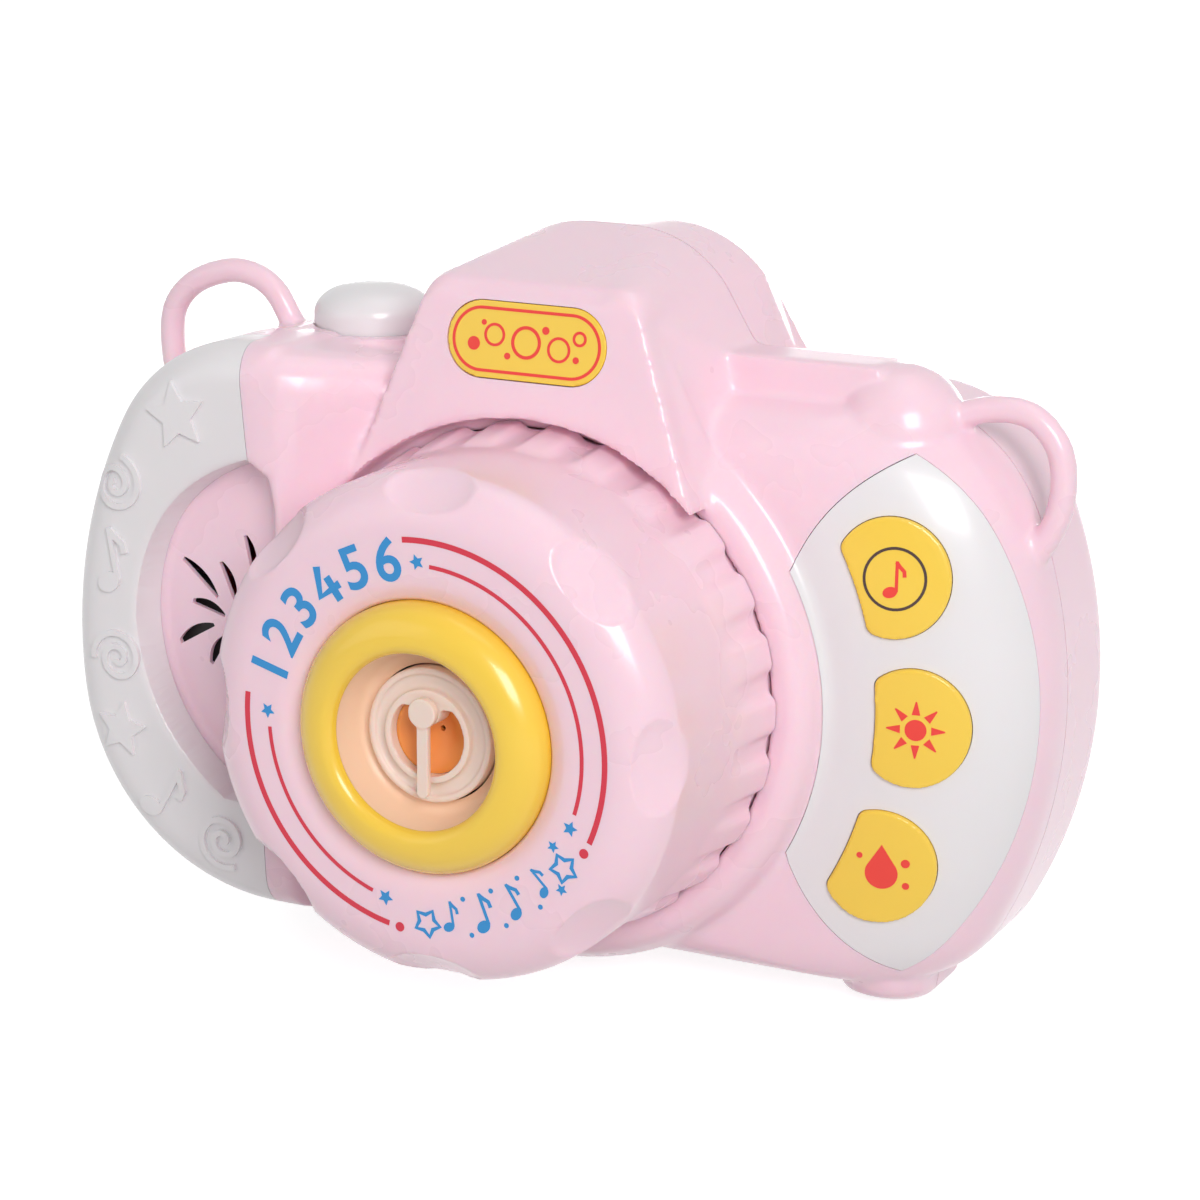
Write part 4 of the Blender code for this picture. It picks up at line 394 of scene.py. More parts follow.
def soften(made, voxel, rounds):
    """Melt sharp edges into moulded radii."""
    remesh = made.modifiers.new("remesh", "REMESH")
    remesh.mode = "VOXEL"
    remesh.voxel_size = voxel
    smooth = made.modifiers.new("smooth", "SMOOTH")
    smooth.factor = 0.5
    smooth.iterations = rounds
    return bake(made)


def shade(made, angle=40):
    made.data.shade_smooth()
    made.data.set_sharp_from_angle(angle=radians(angle))
    return made


def at(x, y, z):
    """Place a point by its height above the lens axis."""
    return Vector((x, y, z + AXIS_Z))


def ring(outline, y):
    """Points of an (x, z) outline at one depth."""
    return [at(x, y, z) for x, z in outline]


def band(bm, low, high):
    """Faces between two closed rows of vertices."""
    for i in range(len(low)):
        bm.faces.new((low[i - 1], low[i], high[i], high[i - 1]))


def loft(name, rings):
    """Skin a closed solid over rings that have one point count."""
    bm = bmesh.new()
    rows = [[bm.verts.new(point) for point in points] for points in rings]
    for low, high in zip(rows, rows[1:]):
        band(bm, low, high)
    bm.faces.new(rows[0])
    bm.faces.new(rows[-1])
    return add(name, bm)


def slab(name, outline, front, back):
    """Extrude an (x, z) outline between two depths along Y."""
    return loft(name, [ring(outline, front), ring(outline, back)])


def side_slab(name, outline, left, right):
    """Extrude a (y, z) outline between two places along X."""
    return loft(name, [[at(x, y, z) for y, z in outline] for x in (left, right)])


def lathe(name, profile, steps=128, x=0, z=0, up=False):
    """Turn (radius, depth) pairs about an axis along Y, or along Z where up is set."""
    bm = bmesh.new()
    rows = []
    for i in range(steps):
        turn = 2 * pi * i / steps
        row = []
        for radius, depth in profile:
            if up:
                row.append(bm.verts.new(at(x + radius * cos(turn), z + radius * sin(turn), depth)))
            else:
                row.append(bm.verts.new(at(x + radius * cos(turn), depth, z + radius * sin(turn))))
        rows.append(row)
    for i in range(steps):
        band(bm, rows[i], rows[i - 1])
    bmesh.ops.remove_doubles(bm, verts=bm.verts, dist=1e-7)
    bmesh.ops.dissolve_degenerate(bm, edges=bm.edges, dist=1e-7)
    return add(name, bm)


def cylinder(name, radius, start, end, sides=48):
    start, end = Vector(start), Vector(end)
    bm = bmesh.new()
    bmesh.ops.create_cone(bm, cap_ends=True, segments=sides, radius1=radius, radius2=radius,
                          depth=(end - start).length)
    turn = Vector((0, 0, 1)).rotation_difference(end - start).to_matrix().to_4x4()
    return add(name, bm, Matrix.Translation((start + end) / 2) @ turn)


def pin(name, radius, front, back, x=0, z=0, sides=48):
    """Cylinder along Y between two depths."""
    return cylinder(name, radius, at(x, front, z), at(x, back, z), sides)


def shutter_post(name, radius, low, high, sides=96):
    """Cylinder on the shutter's axis between two heights."""
    return cylinder(name, radius, at(*SHUTTER_AT, low), at(*SHUTTER_AT, high), sides)


def block(name, low, high):
    low, high = Vector(low), Vector(high)
    bm = bmesh.new()
    bmesh.ops.create_cube(bm, size=1)
    bmesh.ops.scale(bm, vec=high - low, verts=bm.verts)
    return add(name, bm, Matrix.Translation((low + high) / 2))


def rod(name, points, radius):
    """Sweep a round rod along points."""
    curve = bpy.data.curves.new(name, "CURVE")
    curve.dimensions = "3D"
    curve.bevel_depth = radius
    curve.bevel_resolution = 6
    curve.use_fill_caps = True
    spline = curve.splines.new("POLY")
    spline.points.add(len(points) - 1)
    for point, place in zip(spline.points, points):
        point.co = (*place, 1)
    return solid_of(curve, 1e-6)


def smooth_route(points, steps):
    """Catmull-Rom curve through points."""
    route = []
    for i in range(1, len(points) - 2):
        before, start, end, after = (Vector(points[i + k]) for k in (-1, 0, 1, 2))
        for step in range(steps):
            t = step / steps
            bend = (2 * before - 5 * start + 4 * end - after) * t ** 2
            twist = (3 * start - before - 3 * end + after) * t ** 3
            route.append((2 * start + (end - before) * t + bend + twist) / 2)
    return [Vector(points[0])] + route + [Vector(points[-2]), Vector(points[-1])]


def arc(centre, radius, first, last, count):
    """Points on a circle between two angles in radians, both ends included."""
    step = (last - first) / (count - 1)
    return [(centre[0] + radius * cos(first + step * i), centre[1] + radius * sin(first + step * i))
            for i in range(count)]


def bow(start, end, rise, count):
    """Points on an arched line from start to end that rises to its left side."""
    span = hypot(end[0] - start[0], end[1] - start[1])
    along = ((end[0] - start[0]) / span, (end[1] - start[1]) / span)
    points = []
    for i in range(count):
        t = i / (count - 1)
        lift = 4 * rise * t * (1 - t)
        points.append((start[0] + along[0] * span * t - along[1] * lift,
                       start[1] + along[1] * span * t + along[0] * lift))
    return points


def stadium(length, height, count=24):
    straight = (length - height) / 2
    return (arc((straight, 0), height / 2, -pi / 2, pi / 2, count)
            + arc((-straight, 0), height / 2, pi / 2, 3 * pi / 2, count))


# Forms of the case
def body_half(radius, top, bottom, tighten=0, corner=BOTTOM_CORNER):
    """Right half of the body's outline, from the bottom to the top."""
    low_round = max(corner - tighten, OVERRUN)
    top_round = max(TOP_CORNER - tighten, OVERRUN)
    low = (sqrt((radius - low_round) ** 2 - (bottom - low_round) ** 2), low_round - bottom)
    high = (sqrt((radius - top_round) ** 2 - (top - top_round) ** 2), top - top_round)
    low_angle = atan2(low[1], low[0])
    high_angle = atan2(high[1], high[0])
    return (arc(low, low_round, -pi / 2, low_angle, 17)[:-1]
            + arc((0, 0), radius, low_angle, high_angle, 33)
            + arc(high, top_round, high_angle, pi / 2, 21)[1:])


def body_outline(inset, top_inset, bottom_inset):
    half = body_half(BODY_RADIUS - inset, BODY_TOP - top_inset, BODY_BOTTOM - bottom_inset)
    return half + [(-x, z) for x, z in reversed(half)]


def body_form(name, inset):
    """The case without hood and grip, drawn in on every side by an inset."""
    rings = []
    depth = SEAM_Y - FACE_Y - inset
    steps = 20
    for i in range(steps + 1):
        angle = (1 - i / steps) * pi / 2
        drawn = 1 - cos(angle) ** (2 / ROUND_POWER)
        forward = sin(angle) ** (2 / ROUND_POWER)
        y = SEAM_Y - depth * forward
        outline = body_outline(inset + SIDE_ROUND * drawn, inset + TOP_ROUND * drawn,
                               inset + BOTTOM_ROUND * drawn)
        rings.append(ring(outline, y))
    for i in range(9):
        turn = i / 8 * pi / 2
        drawn = inset + REAR_ROUND * (1 - cos(turn))
        y = REAR_Y - inset - REAR_ROUND * (1 - sin(turn))
        rings.append(ring(body_outline(drawn, drawn, drawn), y))
    return loft(name, rings)


def grip_outline(outer, inner, rise):
    """Crescent between the lens and the left end of the body, higher and rounder in front."""
    top = BODY_TOP - outer + GRIP_LIFT * rise
    bottom = BODY_BOTTOM - outer - GRIP_RISE * rise
    corner = BOTTOM_CORNER + (GRIP_CORNER - BOTTOM_CORNER) * rise
    half = [(-x, z) for x, z in body_half(BODY_RADIUS - outer, top, bottom, outer, corner)]
    radius = GRIP_INNER_RADIUS + inner
    high, low = (sqrt(radius ** 2 - (x + inner) ** 2) for x in (GRIP_TOP_X, GRIP_LOW_X))
    first = pi - asin(min(high, top - OVERRUN) / radius)
    last = pi + asin(min(low, bottom - OVERRUN) / radius)
    curve = arc((0, 0), radius, first, last, 41)
    return half + [(curve[0][0], top)] + curve + [(curve[-1][0], -bottom)]


def grip_form(name, inset, inner_inset):
    """The forward bulge on the left, drawn in by an inset."""
    rings = []
    shy = 0.2 * MM
    start = GRIP_Y + GRIP_ROUND
    levels = [(SEAM_Y + OVERRUN - inset, 0, 0), (SEAM_Y - 2 * OVERRUN - inset, 0, 0.75), (FACE_Y, 0, 0.95)]
    for i in range(11):
        turn = i / 10 * pi / 2
        levels.append((start - (GRIP_ROUND - inset) * sin(turn), 1 - cos(turn), 1))
    for y, drawn, rise in levels:
        outline = grip_outline(shy + inset + GRIP_ROUND * drawn, inner_inset + GRIP_ROUND * drawn / 2, rise)
        rings.append(ring(outline, y))
    return loft(name, rings)


def hump_section(side, shoulder, top, base, crown):
    """Half of the hood's section as points from the base up to the middle."""
    corner = (shoulder[0] - crown, top)
    points = [(side[0] + (side[1] - base) * 0.12, base), side]
    points += bow(shoulder, corner, -2.5 * MM, 12)
    return points


def hump_form(name, inset):
    """Prism hood and hump, from the lens arch to the back."""
    base = 20 * MM
    rear = HUMP_REAR_Y - inset
    wide, high = HUMP_SHOULDER
    levels = (
        (HOOD_Y + inset, HOOD_LEAN, HOOD_TIP, HOOD_SHOULDER, HOOD_TOP - 4 * MM, 9 * MM),
        (HOOD_Y + 1.6 * MM + inset, HOOD_LEAN, HOOD_TIP, HOOD_SHOULDER, HOOD_TOP - 1 * MM, 8 * MM),
        (HOOD_Y + 5 * MM + inset, HOOD_LEAN, HOOD_TIP, HOOD_SHOULDER, HOOD_TOP, 7 * MM),
        (SEAM_Y, 0, HUMP_SIDE, (wide - 2 * MM, high), HUMP_TOP, wide - 6 * MM),
        (rear - 9 * MM, 0, HUMP_SIDE, HUMP_SHOULDER, HUMP_TOP - 0.4 * MM, wide - 5 * MM),
        (rear - 3 * MM, 0, HUMP_SIDE, (wide - 1 * MM, high - 1.5 * MM), HUMP_TOP - 2.6 * MM, wide - 5 * MM),
        (rear, 0, HUMP_SIDE, (wide - 4.5 * MM, high - 6 * MM), HUMP_TOP - 8 * MM, wide - 9 * MM),
    )
    rings = []
    for y, lean, side, shoulder, top, crown in levels:
        shoulder = (shoulder[0] - inset, shoulder[1] - inset)
        half = hump_section((side[0] - inset, side[1]), shoulder, top - inset, base, crown)
        outline = half + [(-x, z) for x, z in reversed(half)]
        rings.append([at(x, y + lean * (z - HOOD_TIP[1]), z) for x, z in outline])
    return loft(name, rings)


def recess_outline(grow):
    """Rounded opening inside the white grip, with a slope on its right and a run behind the lens."""
    top = (RECESS_TOP[0], RECESS_TOP[1] + grow)
    left = (RECESS_LEFT[0] - grow, RECESS_LEFT[1])
    low = (RECESS_BOTTOM[0], RECESS_BOTTOM[1] - grow)
    right = RECESS_RIGHT_X + RECESS_RIGHT_SLOPE * grow
    run = RECESS_BOTTOM[0] + RECESS_RUN
    return (bow(top, left, -RECESS_UPPER_BOW, 25)[:-1] + bow(left, low, -RECESS_LOWER_BOW, 25)
            + [(run, low[1] - 2 * MM), (run, RECESS_RUN_Z), (right, RECESS_RIGHT_LOW),
               (right, RECESS_RIGHT_HIGH), (right - 1.2 * MM, top[1] - 3 * MM)])


def recess_tool(name, grow, floor):
    """Sloped pocket cutter from in front of the grip down to a floor."""
    slope = RECESS_DRAFT / RECESS_DEPTH
    return loft(name, [ring(recess_outline(grow + slope * (RECESS_FLOOR_Y - y)), y)
                       for y in (GRIP_Y - OVERRUN, floor)])


def grip_zone(name, grow, back):
    """Everything left of the white grip's two ends, which slant outwards to the back."""
    far = -BODY_RADIUS - 2 * OVERRUN
    high = BODY_TOP + 3 * OVERRUN
    rings = []
    for y in (GRIP_Y - 2 * OVERRUN, back + grow):
        top = grow - GRIP_TOP_END - GRIP_END_SLANT * (y - GRIP_Y)
        bottom = grow - GRIP_BOTTOM_END
        rings.append(ring([(far, high), (far, -high), (bottom, -high), (bottom - GRIP_END_LEAN, 0), (top, 0),
                           (top, GRIP_END_Z), (top - GRIP_END_LEAN, high)], y))
    behind = [(back + grow, GRIP_EDGE_Z), (grow - GRIP_EDGE_LEAD, high), (FAR, high), (FAR, GRIP_EDGE_Z)]
    return cut(loft(name, rings), side_slab(name + "_behind", behind, far - OVERRUN, 0))


def bridge_form(name):
    """Shoulder between the grip and the hood, in front of the shutter and falling to the right."""
    rings = []
    for z, back in BRIDGE_LEVELS:
        points = []
        for x, y in BRIDGE_PLAN:
            right = max(x - BRIDGE_EDGE_X, 0)
            drop = BRIDGE_FALL * right * max(z - BRIDGE_FALL_Z, 0)
            shift = back * (1 + BRIDGE_SPREAD * right) if y < BRIDGE_BACK else 0
            points.append(at(x * MM, (y + shift) * MM, (z - drop) * MM))
        rings.append(points)
    return loft(name, rings)


def panel_outline(grow):
    """Leaf of the white side panel, open past the body's edge."""
    far = BODY_RADIUS + 2 * OVERRUN
    near = (PANEL_NEAR[0] - grow, PANEL_NEAR[1] + grow / 2)
    tip = (PANEL_FAR[0] - grow, PANEL_FAR[1] + grow)
    upper = bow(near, tip, PANEL_BULGE, 24)
    radius = PANEL_INNER_RADIUS - grow
    swing = atan2(near[1], near[0])
    inner = arc((0, 0), radius, -swing, swing, 41)[1:-1]
    points = upper + [(far, tip[1]), (far, -tip[1])] + [(x, -z) for x, z in reversed(upper)] + inner
    return [(x, z + PANEL_MIDDLE_Z) for x, z in points]


def panel_leaf(name, grow):
    """The panel's leaf, with a back edge that bows to the rear in its middle."""
    made = slab(name, panel_outline(grow), FACE_Y - 2 * OVERRUN, SEAM_Y)
    tall = PANEL_FAR[1] + OVERRUN
    edge = []
    for i in range(41):
        z = tall * (1 - i / 20)
        bulge = PANEL_EDGE_BOW * (1 - (z / PANEL_FAR[1]) ** 2)
        edge.append((PANEL_EDGE_Y + grow + bulge, z + PANEL_MIDDLE_Z))
    edge += [(FACE_Y - 3 * OVERRUN, PANEL_MIDDLE_Z - tall), (FACE_Y - 3 * OVERRUN, PANEL_MIDDLE_Z + tall)]
    return keep(made, side_slab(name + "_edge", edge, 0, FAR))


def dome_form(name):
    bm = bmesh.new()
    bmesh.ops.create_uvsphere(bm, u_segments=64, v_segments=32, radius=DOME_RADIUS)
    return add(name, bm, Matrix.Translation(at(*DOME_AT)))


def foot_form(name, side):
    """Long pad under the body, rising at its front end."""
    rings = []
    for height, inset, front in FOOT_LEVELS:
        start, end = FOOT_FRONT_Y + front * MM, FOOT_BACK_Y - inset * MM
        outline = stadium(end - start, FOOT_WIDTH - 2 * inset * MM)
        rings.append([Vector((side * FOOT_X + z, (start + end) / 2 + x, height * MM)) for x, z in outline])
    return loft(name, rings)


def loop_form(name, y, route):
    return rod(name, [at(x * MM, y, z * MM) for x, z in smooth_route(route, 8)], LOOP_ROD)


def half_space(name, front, back):
    return block(name, (-FAR, front, -FAR), (FAR, back, AXIS_Z + FAR))


def case_skin():
    """The whole outside of the case as one smooth solid."""
    made = body_form("case_skin", 0)
    join(made, grip_form("grip", 0, 0), bridge_form("bridge"), hump_form("hump", 0))
    cut(made, pin("lens_well", WELL_RADIUS, -FAR, FACE_Y + WALL / 4, sides=160))
    outer = COLLAR_RADIUS + 1.2 * MM
    profile = [(COLLAR_CREST + 0.9 * MM, COLLAR_CREST_Y + 0.2 * MM),
               (COLLAR_CREST + 1.9 * MM, COLLAR_CREST_Y + 1 * MM),
               (COLLAR_CREST + 2.9 * MM, COLLAR_CREST_Y + 2.4 * MM),
               (COLLAR_RADIUS + 0.4 * MM, FACE_Y - 1.4 * MM), (outer, FACE_Y), (outer, FACE_Y + WALL),
               (COLLAR_MOUTH, FACE_Y + WALL), (COLLAR_MOUTH, SKIRT_Y + 0.4 * MM),
               (COLLAR_CREST - 1 * MM, COLLAR_CREST_Y)]
    boss = shutter_post("boss", BOSS_RADIUS, BOSS_TOP - BOSS_DEPTH, BOSS_TOP)
    ledge = block("ledge", at(0, BAND_FRONT_Y, BODY_TOP - 6 * MM), at(BAND_END_X, BAND_BACK_Y, BAND_TOP))
    join(made, lathe("collar", profile, 160), boss, ledge, dome_form("dome"),
         foot_form("foot_left", -1), foot_form("foot_right", 1),
         loop_form("loop_right", RIGHT_LOOP_Y, RIGHT_LOOP), loop_form("loop_left", LEFT_LOOP_Y, LEFT_LOOP))
    cut(made, recess_tool("recess", 0, RECESS_FLOOR_Y))
    return soften(made, SKIN_VOXEL, SKIN_SMOOTHING)


# Shells and trim
def grip_core(name, gap):
    """What lies under the white C and behind its lining."""
    made = grip_form(name, SKIN + gap, -OVERRUN / 2)
    return cut(made, recess_tool(name + "_lining", SKIN + gap, RECESS_FLOOR_Y + gap - GAP))


def grip_hollow():
    deep = SKIN + GAP + WALL
    made = grip_form("grip_hollow", deep, WALL)
    return cut(made, recess_tool("recess_wall", deep, RECESS_FLOOR_Y + GAP + WALL))


def hump_hollow():
    made = hump_form("hump_hollow", WALL)
    return cut(made, pin("well_wall", COLLAR_RADIUS + WALL, -FAR, FACE_Y + 1.4 * WALL))


def speaker_slot(index):
    """Curved slot of the sunburst in the recess floor."""
    start, end = (Vector(point) * MM for point in SLOTS[index])
    across = Vector((start.y - end.y, end.x - start.x)).normalized()
    left, right = [], []
    count = 17
    for i, point in enumerate(bow(start, end, SLOT_BEND, count)):
        half = SLOT_WIDTH / 2 * sin(pi * (0.1 + 0.84 * i / (count - 1))) ** 0.7
        left.append(Vector(point) + across * half)
        right.append(Vector(point) - across * half)
    return slab("slot_%d" % index, right + left[::-1], RECESS_FLOOR_Y - OVERRUN, RECESS_FLOOR_Y + OVERRUN)


def badge_matrix():
    """Frame on the hood's leaning face, with local Z pointing out of it."""
    y = HOOD_Y + HOOD_LEAN * (BADGE_Z - HOOD_TIP[1])
    return Matrix.Translation(at(0, y, BADGE_Z)) @ Matrix.Rotation(pi / 2 - atan2(HOOD_LEAN, 1), 4, "X")


def badge_slab(name, grow, low, high):
    outline = stadium(BADGE_LENGTH + 2 * grow, BADGE_HEIGHT + 2 * grow)
    face = badge_matrix()
    return loft(name, [[face @ Vector((x, y, height)) for x, y in outline] for height in (low, high)])


def boss_bore(name):
    floor = BOSS_TOP - BOSS_DEPTH + BOSS_FLOOR
    return shutter_post(name, SHUTTER_RADIUS + KEY_GAP, floor, BOSS_TOP + OVERRUN)


def key_room(index):
    """Pocket and stem hole that let a key travel."""
    pocket = key_prism("key_room_%d" % index, index, KEY_GAP, FACE_Y - OVERRUN, TRIM_EDGE_Y + OVERRUN)
    cut(pocket, body_form("key_room_floor", KEY_THICKNESS + KEY_TRAVEL + GAP))
    stem = cylinder("stem_hole_%d" % index, KEY_STEM + KEY_GAP, key_point(index, FACE_Y),
                    key_point(index, TRIM_EDGE_Y + 2 * OVERRUN), 32)
    return pocket, stem


def front_shell(skin):
    made = copy_of(skin, "front_shell_skin")
    cut(made, body_form("front_hollow", SKIN + GAP + WALL), grip_hollow(), hump_hollow())
    narrow = BOSS_RADIUS - BOSS_STEP
    join(made, shutter_post("boss_tube", narrow, BOSS_TOP - BOSS_DEPTH, BOSS_TOP - BOSS_STEP, 48))
    pocket = grip_zone("grip_pocket", TRIM_GAP, TRIM_EDGE_Y)
    notch = shutter_post("pocket_notch", narrow, BOSS_TOP - BOSS_DEPTH, BOSS_TOP + OVERRUN)
    cut(pocket, grip_core("pocket_core", TRIM_GAP), notch)
    panel = panel_leaf("panel_pocket", TRIM_GAP)
    cut(panel, body_form("under_panel", SKIN + TRIM_GAP))
    badge = badge_slab("badge_pocket", TRIM_GAP, -BADGE_DEPTH, OVERRUN)
    cut(made, pocket, panel, boss_bore("front_bore"), badge)
    for index in range(len(KEY_NAMES)):
        cut(made, *key_room(index))
    room = pin("speaker_room", SPEAKER_ROOM, RECESS_FLOOR_Y + 1 * MM, RECESS_FLOOR_Y + OVERRUN,
               SPEAKER_X, SPEAKER_Z)
    cut(made, room, *[speaker_slot(index) for index in range(len(SLOTS))])
    cut(made, pin("duct_hole", DUCT_RADIUS + 2.2 * MM, COLLAR_Y, FACE_Y + 3 * OVERRUN))
    cut(made, half_space("behind_seam", SEAM_Y, FAR))
    return shade(made)


def screw_spots():
    spots = []
    angle = radians(SCREW_ANGLE)
    for side in (1, -1):
        for rise in (1, -1):
            spots.append((side * SCREW_RING * cos(angle), rise * SCREW_RING * sin(angle)))
        spots.append((side * SCREW_LOW_X, SCREW_BOSS - BODY_BOTTOM + WALL / 2))
    return spots


def door_outline(grow):
    """Rounded outline of the battery opening."""
    corner = DOOR_CORNER + grow
    right, left, tall = TRAY_RIGHT_X + grow, TRAY_LEFT_X - grow, TRAY_TALL + grow
    points = []
    for x, z, turn in ((right - corner, tall - corner, 0), (left + corner, tall - corner, 1),
                       (left + corner, corner - tall, 2), (right - corner, corner - tall, 3)):
        points += arc((x, z), corner, turn * pi / 2, (turn + 1) * pi / 2, 9)
    return points


def battery_door():
    """Door with finger grooves by its free end and a sunk screw."""
    lip = REAR_Y - DOOR_THICKNESS / 2
    made = slab("door_skin", door_outline(DOOR_LIP - DOOR_GAP), lip, REAR_Y)
    join(made, slab("door_plug", door_outline(-DOOR_GAP), REAR_Y - DOOR_THICKNESS, lip + DOOR_THICKNESS / 4))
    grooves = []
    for i in range(DOOR_GROOVES):
        x = TRAY_LEFT_X + DOOR_GROOVE_START + DOOR_GROOVE_PITCH * i
        y = REAR_Y + DOOR_GROOVE_LIFT
        grooves.append(cylinder("groove_%d" % i, DOOR_GROOVE_RADIUS, at(x, y, -DOOR_GROOVE / 2),
                                at(x, y, DOOR_GROOVE / 2), 24))
    cut(made, pin("door_sink", SCREW_HEAD + GAP, lip, REAR_Y + OVERRUN, DOOR_SCREW_X), *grooves)
    return shade(made, 30)


def rear_shell(skin):
    made = copy_of(skin, "rear_shell_skin")
    cut(made, body_form("rear_hollow", WALL), hump_form("rear_hump_hollow", WALL))
    front = SEAM_Y - OVERRUN
    for index, spot_at in enumerate(screw_spots()):
        post = pin("rear_post_%d" % index, SCREW_BOSS, front, REAR_Y - WALL / 2, *spot_at)
        join(made, keep(post, body_form("post_trim_%d" % index, WALL / 2)))
    sinks = [pin("sink_%d" % index, SCREW_HEAD + GAP, SCREW_SEAT_Y, REAR_Y + OVERRUN, *spot_at)
             for index, spot_at in enumerate(screw_spots())]
    bores = [pin("bore_%d" % index, SCREW_ROD + GAP, front, REAR_Y, *spot_at)
             for index, spot_at in enumerate(screw_spots())]
    cut(made, *sinks, *bores)
    hole = slab("door_hole", door_outline(0), REAR_Y - OVERRUN, REAR_Y + OVERRUN)
    rebate = slab("door_rebate", door_outline(DOOR_LIP), REAR_Y - DOOR_THICKNESS / 2 - GAP, REAR_Y + OVERRUN)
    cut(made, hole, rebate, boss_bore("rear_bore"), half_space("ahead_of_seam", -FAR, SEAM_Y + GAP))
    return shade(made)


def grip_ring(skin):
    """White C that wraps the bulge and lines the recess."""
    made = copy_of(skin, "grip_ring_skin")
    keep(made, grip_zone("grip_ends", 0, TRIM_EDGE_Y))
    notch = shutter_post("ring_notch", BOSS_RADIUS - BOSS_STEP + GAP, BOSS_TOP - BOSS_DEPTH - OVERRUN,
                         BOSS_TOP + OVERRUN)
    cut(made, grip_core("ring_core", 0), notch, recess_tool("ring_floor", GAP, RECESS_FLOOR_Y - GAP))
    return shade(made)


def key_angle(index):
    return radians((1 - index) * KEY_STEP) + atan2(PANEL_MIDDLE_Z, KEY_RING)


def key_centre(index):
    angle = key_angle(index)
    return KEY_RING * cos(angle), KEY_RING * sin(angle)


def key_axis(index):
    """Direction in which a key is pressed, square to the panel."""
    tilt = radians(KEY_TILT)
    angle = key_angle(index)
    return Vector((-sin(tilt) * cos(angle), cos(tilt), -sin(tilt) * sin(angle)))


def key_outline(index, grow):
    """Round key cut off by an arc about the lens, with rounded corners."""
    angle = key_angle(index)
    corner = KEY_CORNER + grow
    radius = KEY_RADIUS + grow
    inner = KEY_RING - KEY_INNER - grow
    x = ((inner + corner) ** 2 - (radius - corner) ** 2 + KEY_RING ** 2) / (2 * KEY_RING)
    y = sqrt((inner + corner) ** 2 - x ** 2)
    wide = atan2(y, x - KEY_RING)
    slim = atan2(y, x)
    points = arc((KEY_RING, 0), radius, -wide, wide, 49)
    points += arc((x, y), corner, wide, slim + pi, 9)[1:]
    points += arc((0, 0), inner, slim, -slim, 15)[1:]
    points += arc((x, -y), corner, pi - slim, 2 * pi - wide, 9)[1:-1]
    return [(px * cos(angle) - py * sin(angle), px * sin(angle) + py * cos(angle)) for px, py in points]


def key_prism(name, index, grow, front, back):
    """Bar with the key's outline, sheared along the key's axis."""
    slope = key_axis(index) / key_axis(index).y
    rings = []
    for y in (front, back):
        shift = slope * (y - FACE_Y - OVERRUN)
        rings.append([at(px + shift.x, y, pz + shift.z) for px, pz in key_outline(index, grow)])
    return loft(name, rings)


def key_point(index, y):
    """Point on a key's axis at a depth."""
    x, z = key_centre(index)
    slope = key_axis(index) / key_axis(index).y
    return at(x, FACE_Y + OVERRUN, z) + slope * (y - FACE_Y - OVERRUN)


def side_panel(skin):
    made = copy_of(skin, "side_panel_skin")
    keep(made, panel_leaf("panel_leaf", 0))
    holes = [key_prism("panel_hole_%d" % index, index, TRIM_GAP, FACE_Y - OVERRUN, TRIM_EDGE_Y + OVERRUN)
             for index in range(len(KEY_NAMES))]
    cut(made, body_form("panel_back", SKIN), *holes)
    return shade(made)


def key(index):
    """Yellow key with a soft edge."""
    made = key_prism(KEY_NAMES[index] + "_cap", index, 0, FACE_Y - OVERRUN, TRIM_EDGE_Y)
    keep(made, body_form("key_face", -KEY_PROUD))
    cut(made, body_form("key_under", KEY_THICKNESS))
    soften(made, FINE_VOXEL, 5)
    join(made, cylinder("key_stem", KEY_STEM, key_point(index, FACE_Y + 2 * OVERRUN),
                        key_point(index, KEY_STEM_END_Y), 32))
    return shade(made)


def shutter_button():
    """White dome on a short skirt."""
    crown = SHUTTER_TOP - SHUTTER_DOME
    skirt = crown - SHUTTER_SKIRT
    profile = [(0, SHUTTER_TOP)]
    for i in range(1, 25):
        turn = pi / 2 * i / 24
        profile.append((SHUTTER_RADIUS * sin(turn) ** 0.8, crown + SHUTTER_DOME * cos(turn)))
    low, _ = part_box("shutter_button")
    stem = low[2] - AXIS_Z
    wall = SHUTTER_RADIUS - SHUTTER_WALL
    roof = crown + SHUTTER_TRAVEL + GAP / 2
    profile += [(SHUTTER_RADIUS, skirt), (wall, skirt), (wall, crown), (2 * SHUTTER_STEM, roof),
                (SHUTTER_STEM, roof), (SHUTTER_STEM, stem), (0, stem)]
    return shade(lathe("shutter_cap", profile, 96, *SHUTTER_AT, True), 50)


# Lens group
def lens_face_curve(share):
    """Radius and depth along the barrel's rounded shoulder, from its side (0) to its face (1)."""
    turn = share * pi / 2
    length = LENS_BACK_Y - LENS_FACE_Y
    depth = length * (SHOULDER_START + (1 - SHOULDER_START) * sin(turn))
    return BARREL_RADIUS - SHOULDER_DROP * (1 - cos(turn)), LENS_BACK_Y - depth


def lens_outside():
    """Profile of the barrel as (radius, depth) pairs, from the skirt to the mouth."""
    length = LENS_BACK_Y - LENS_FACE_Y
    profile = []
    for i in range(25):
        y = SKIRT_Y - (SKIRT_Y - LENS_BACK_Y + length * SHOULDER_START) * i / 25
        profile.append((BARREL_RADIUS, y))
    profile += [lens_face_curve(i / 44) for i in range(45)]
    rim = profile[-1][0]
    profile += [(rim + (LENS_LIP - rim) * i / 4, LENS_FACE_Y) for i in range(1, 5)]
    profile += [(LENS_LIP - 0.8 * MM, LENS_FACE_Y + 0.35 * MM),
                (LENS_MOUTH + 0.6 * MM, LENS_FACE_Y + 0.8 * MM), (LENS_MOUTH, LENS_FACE_Y + 1.4 * MM)]
    return profile


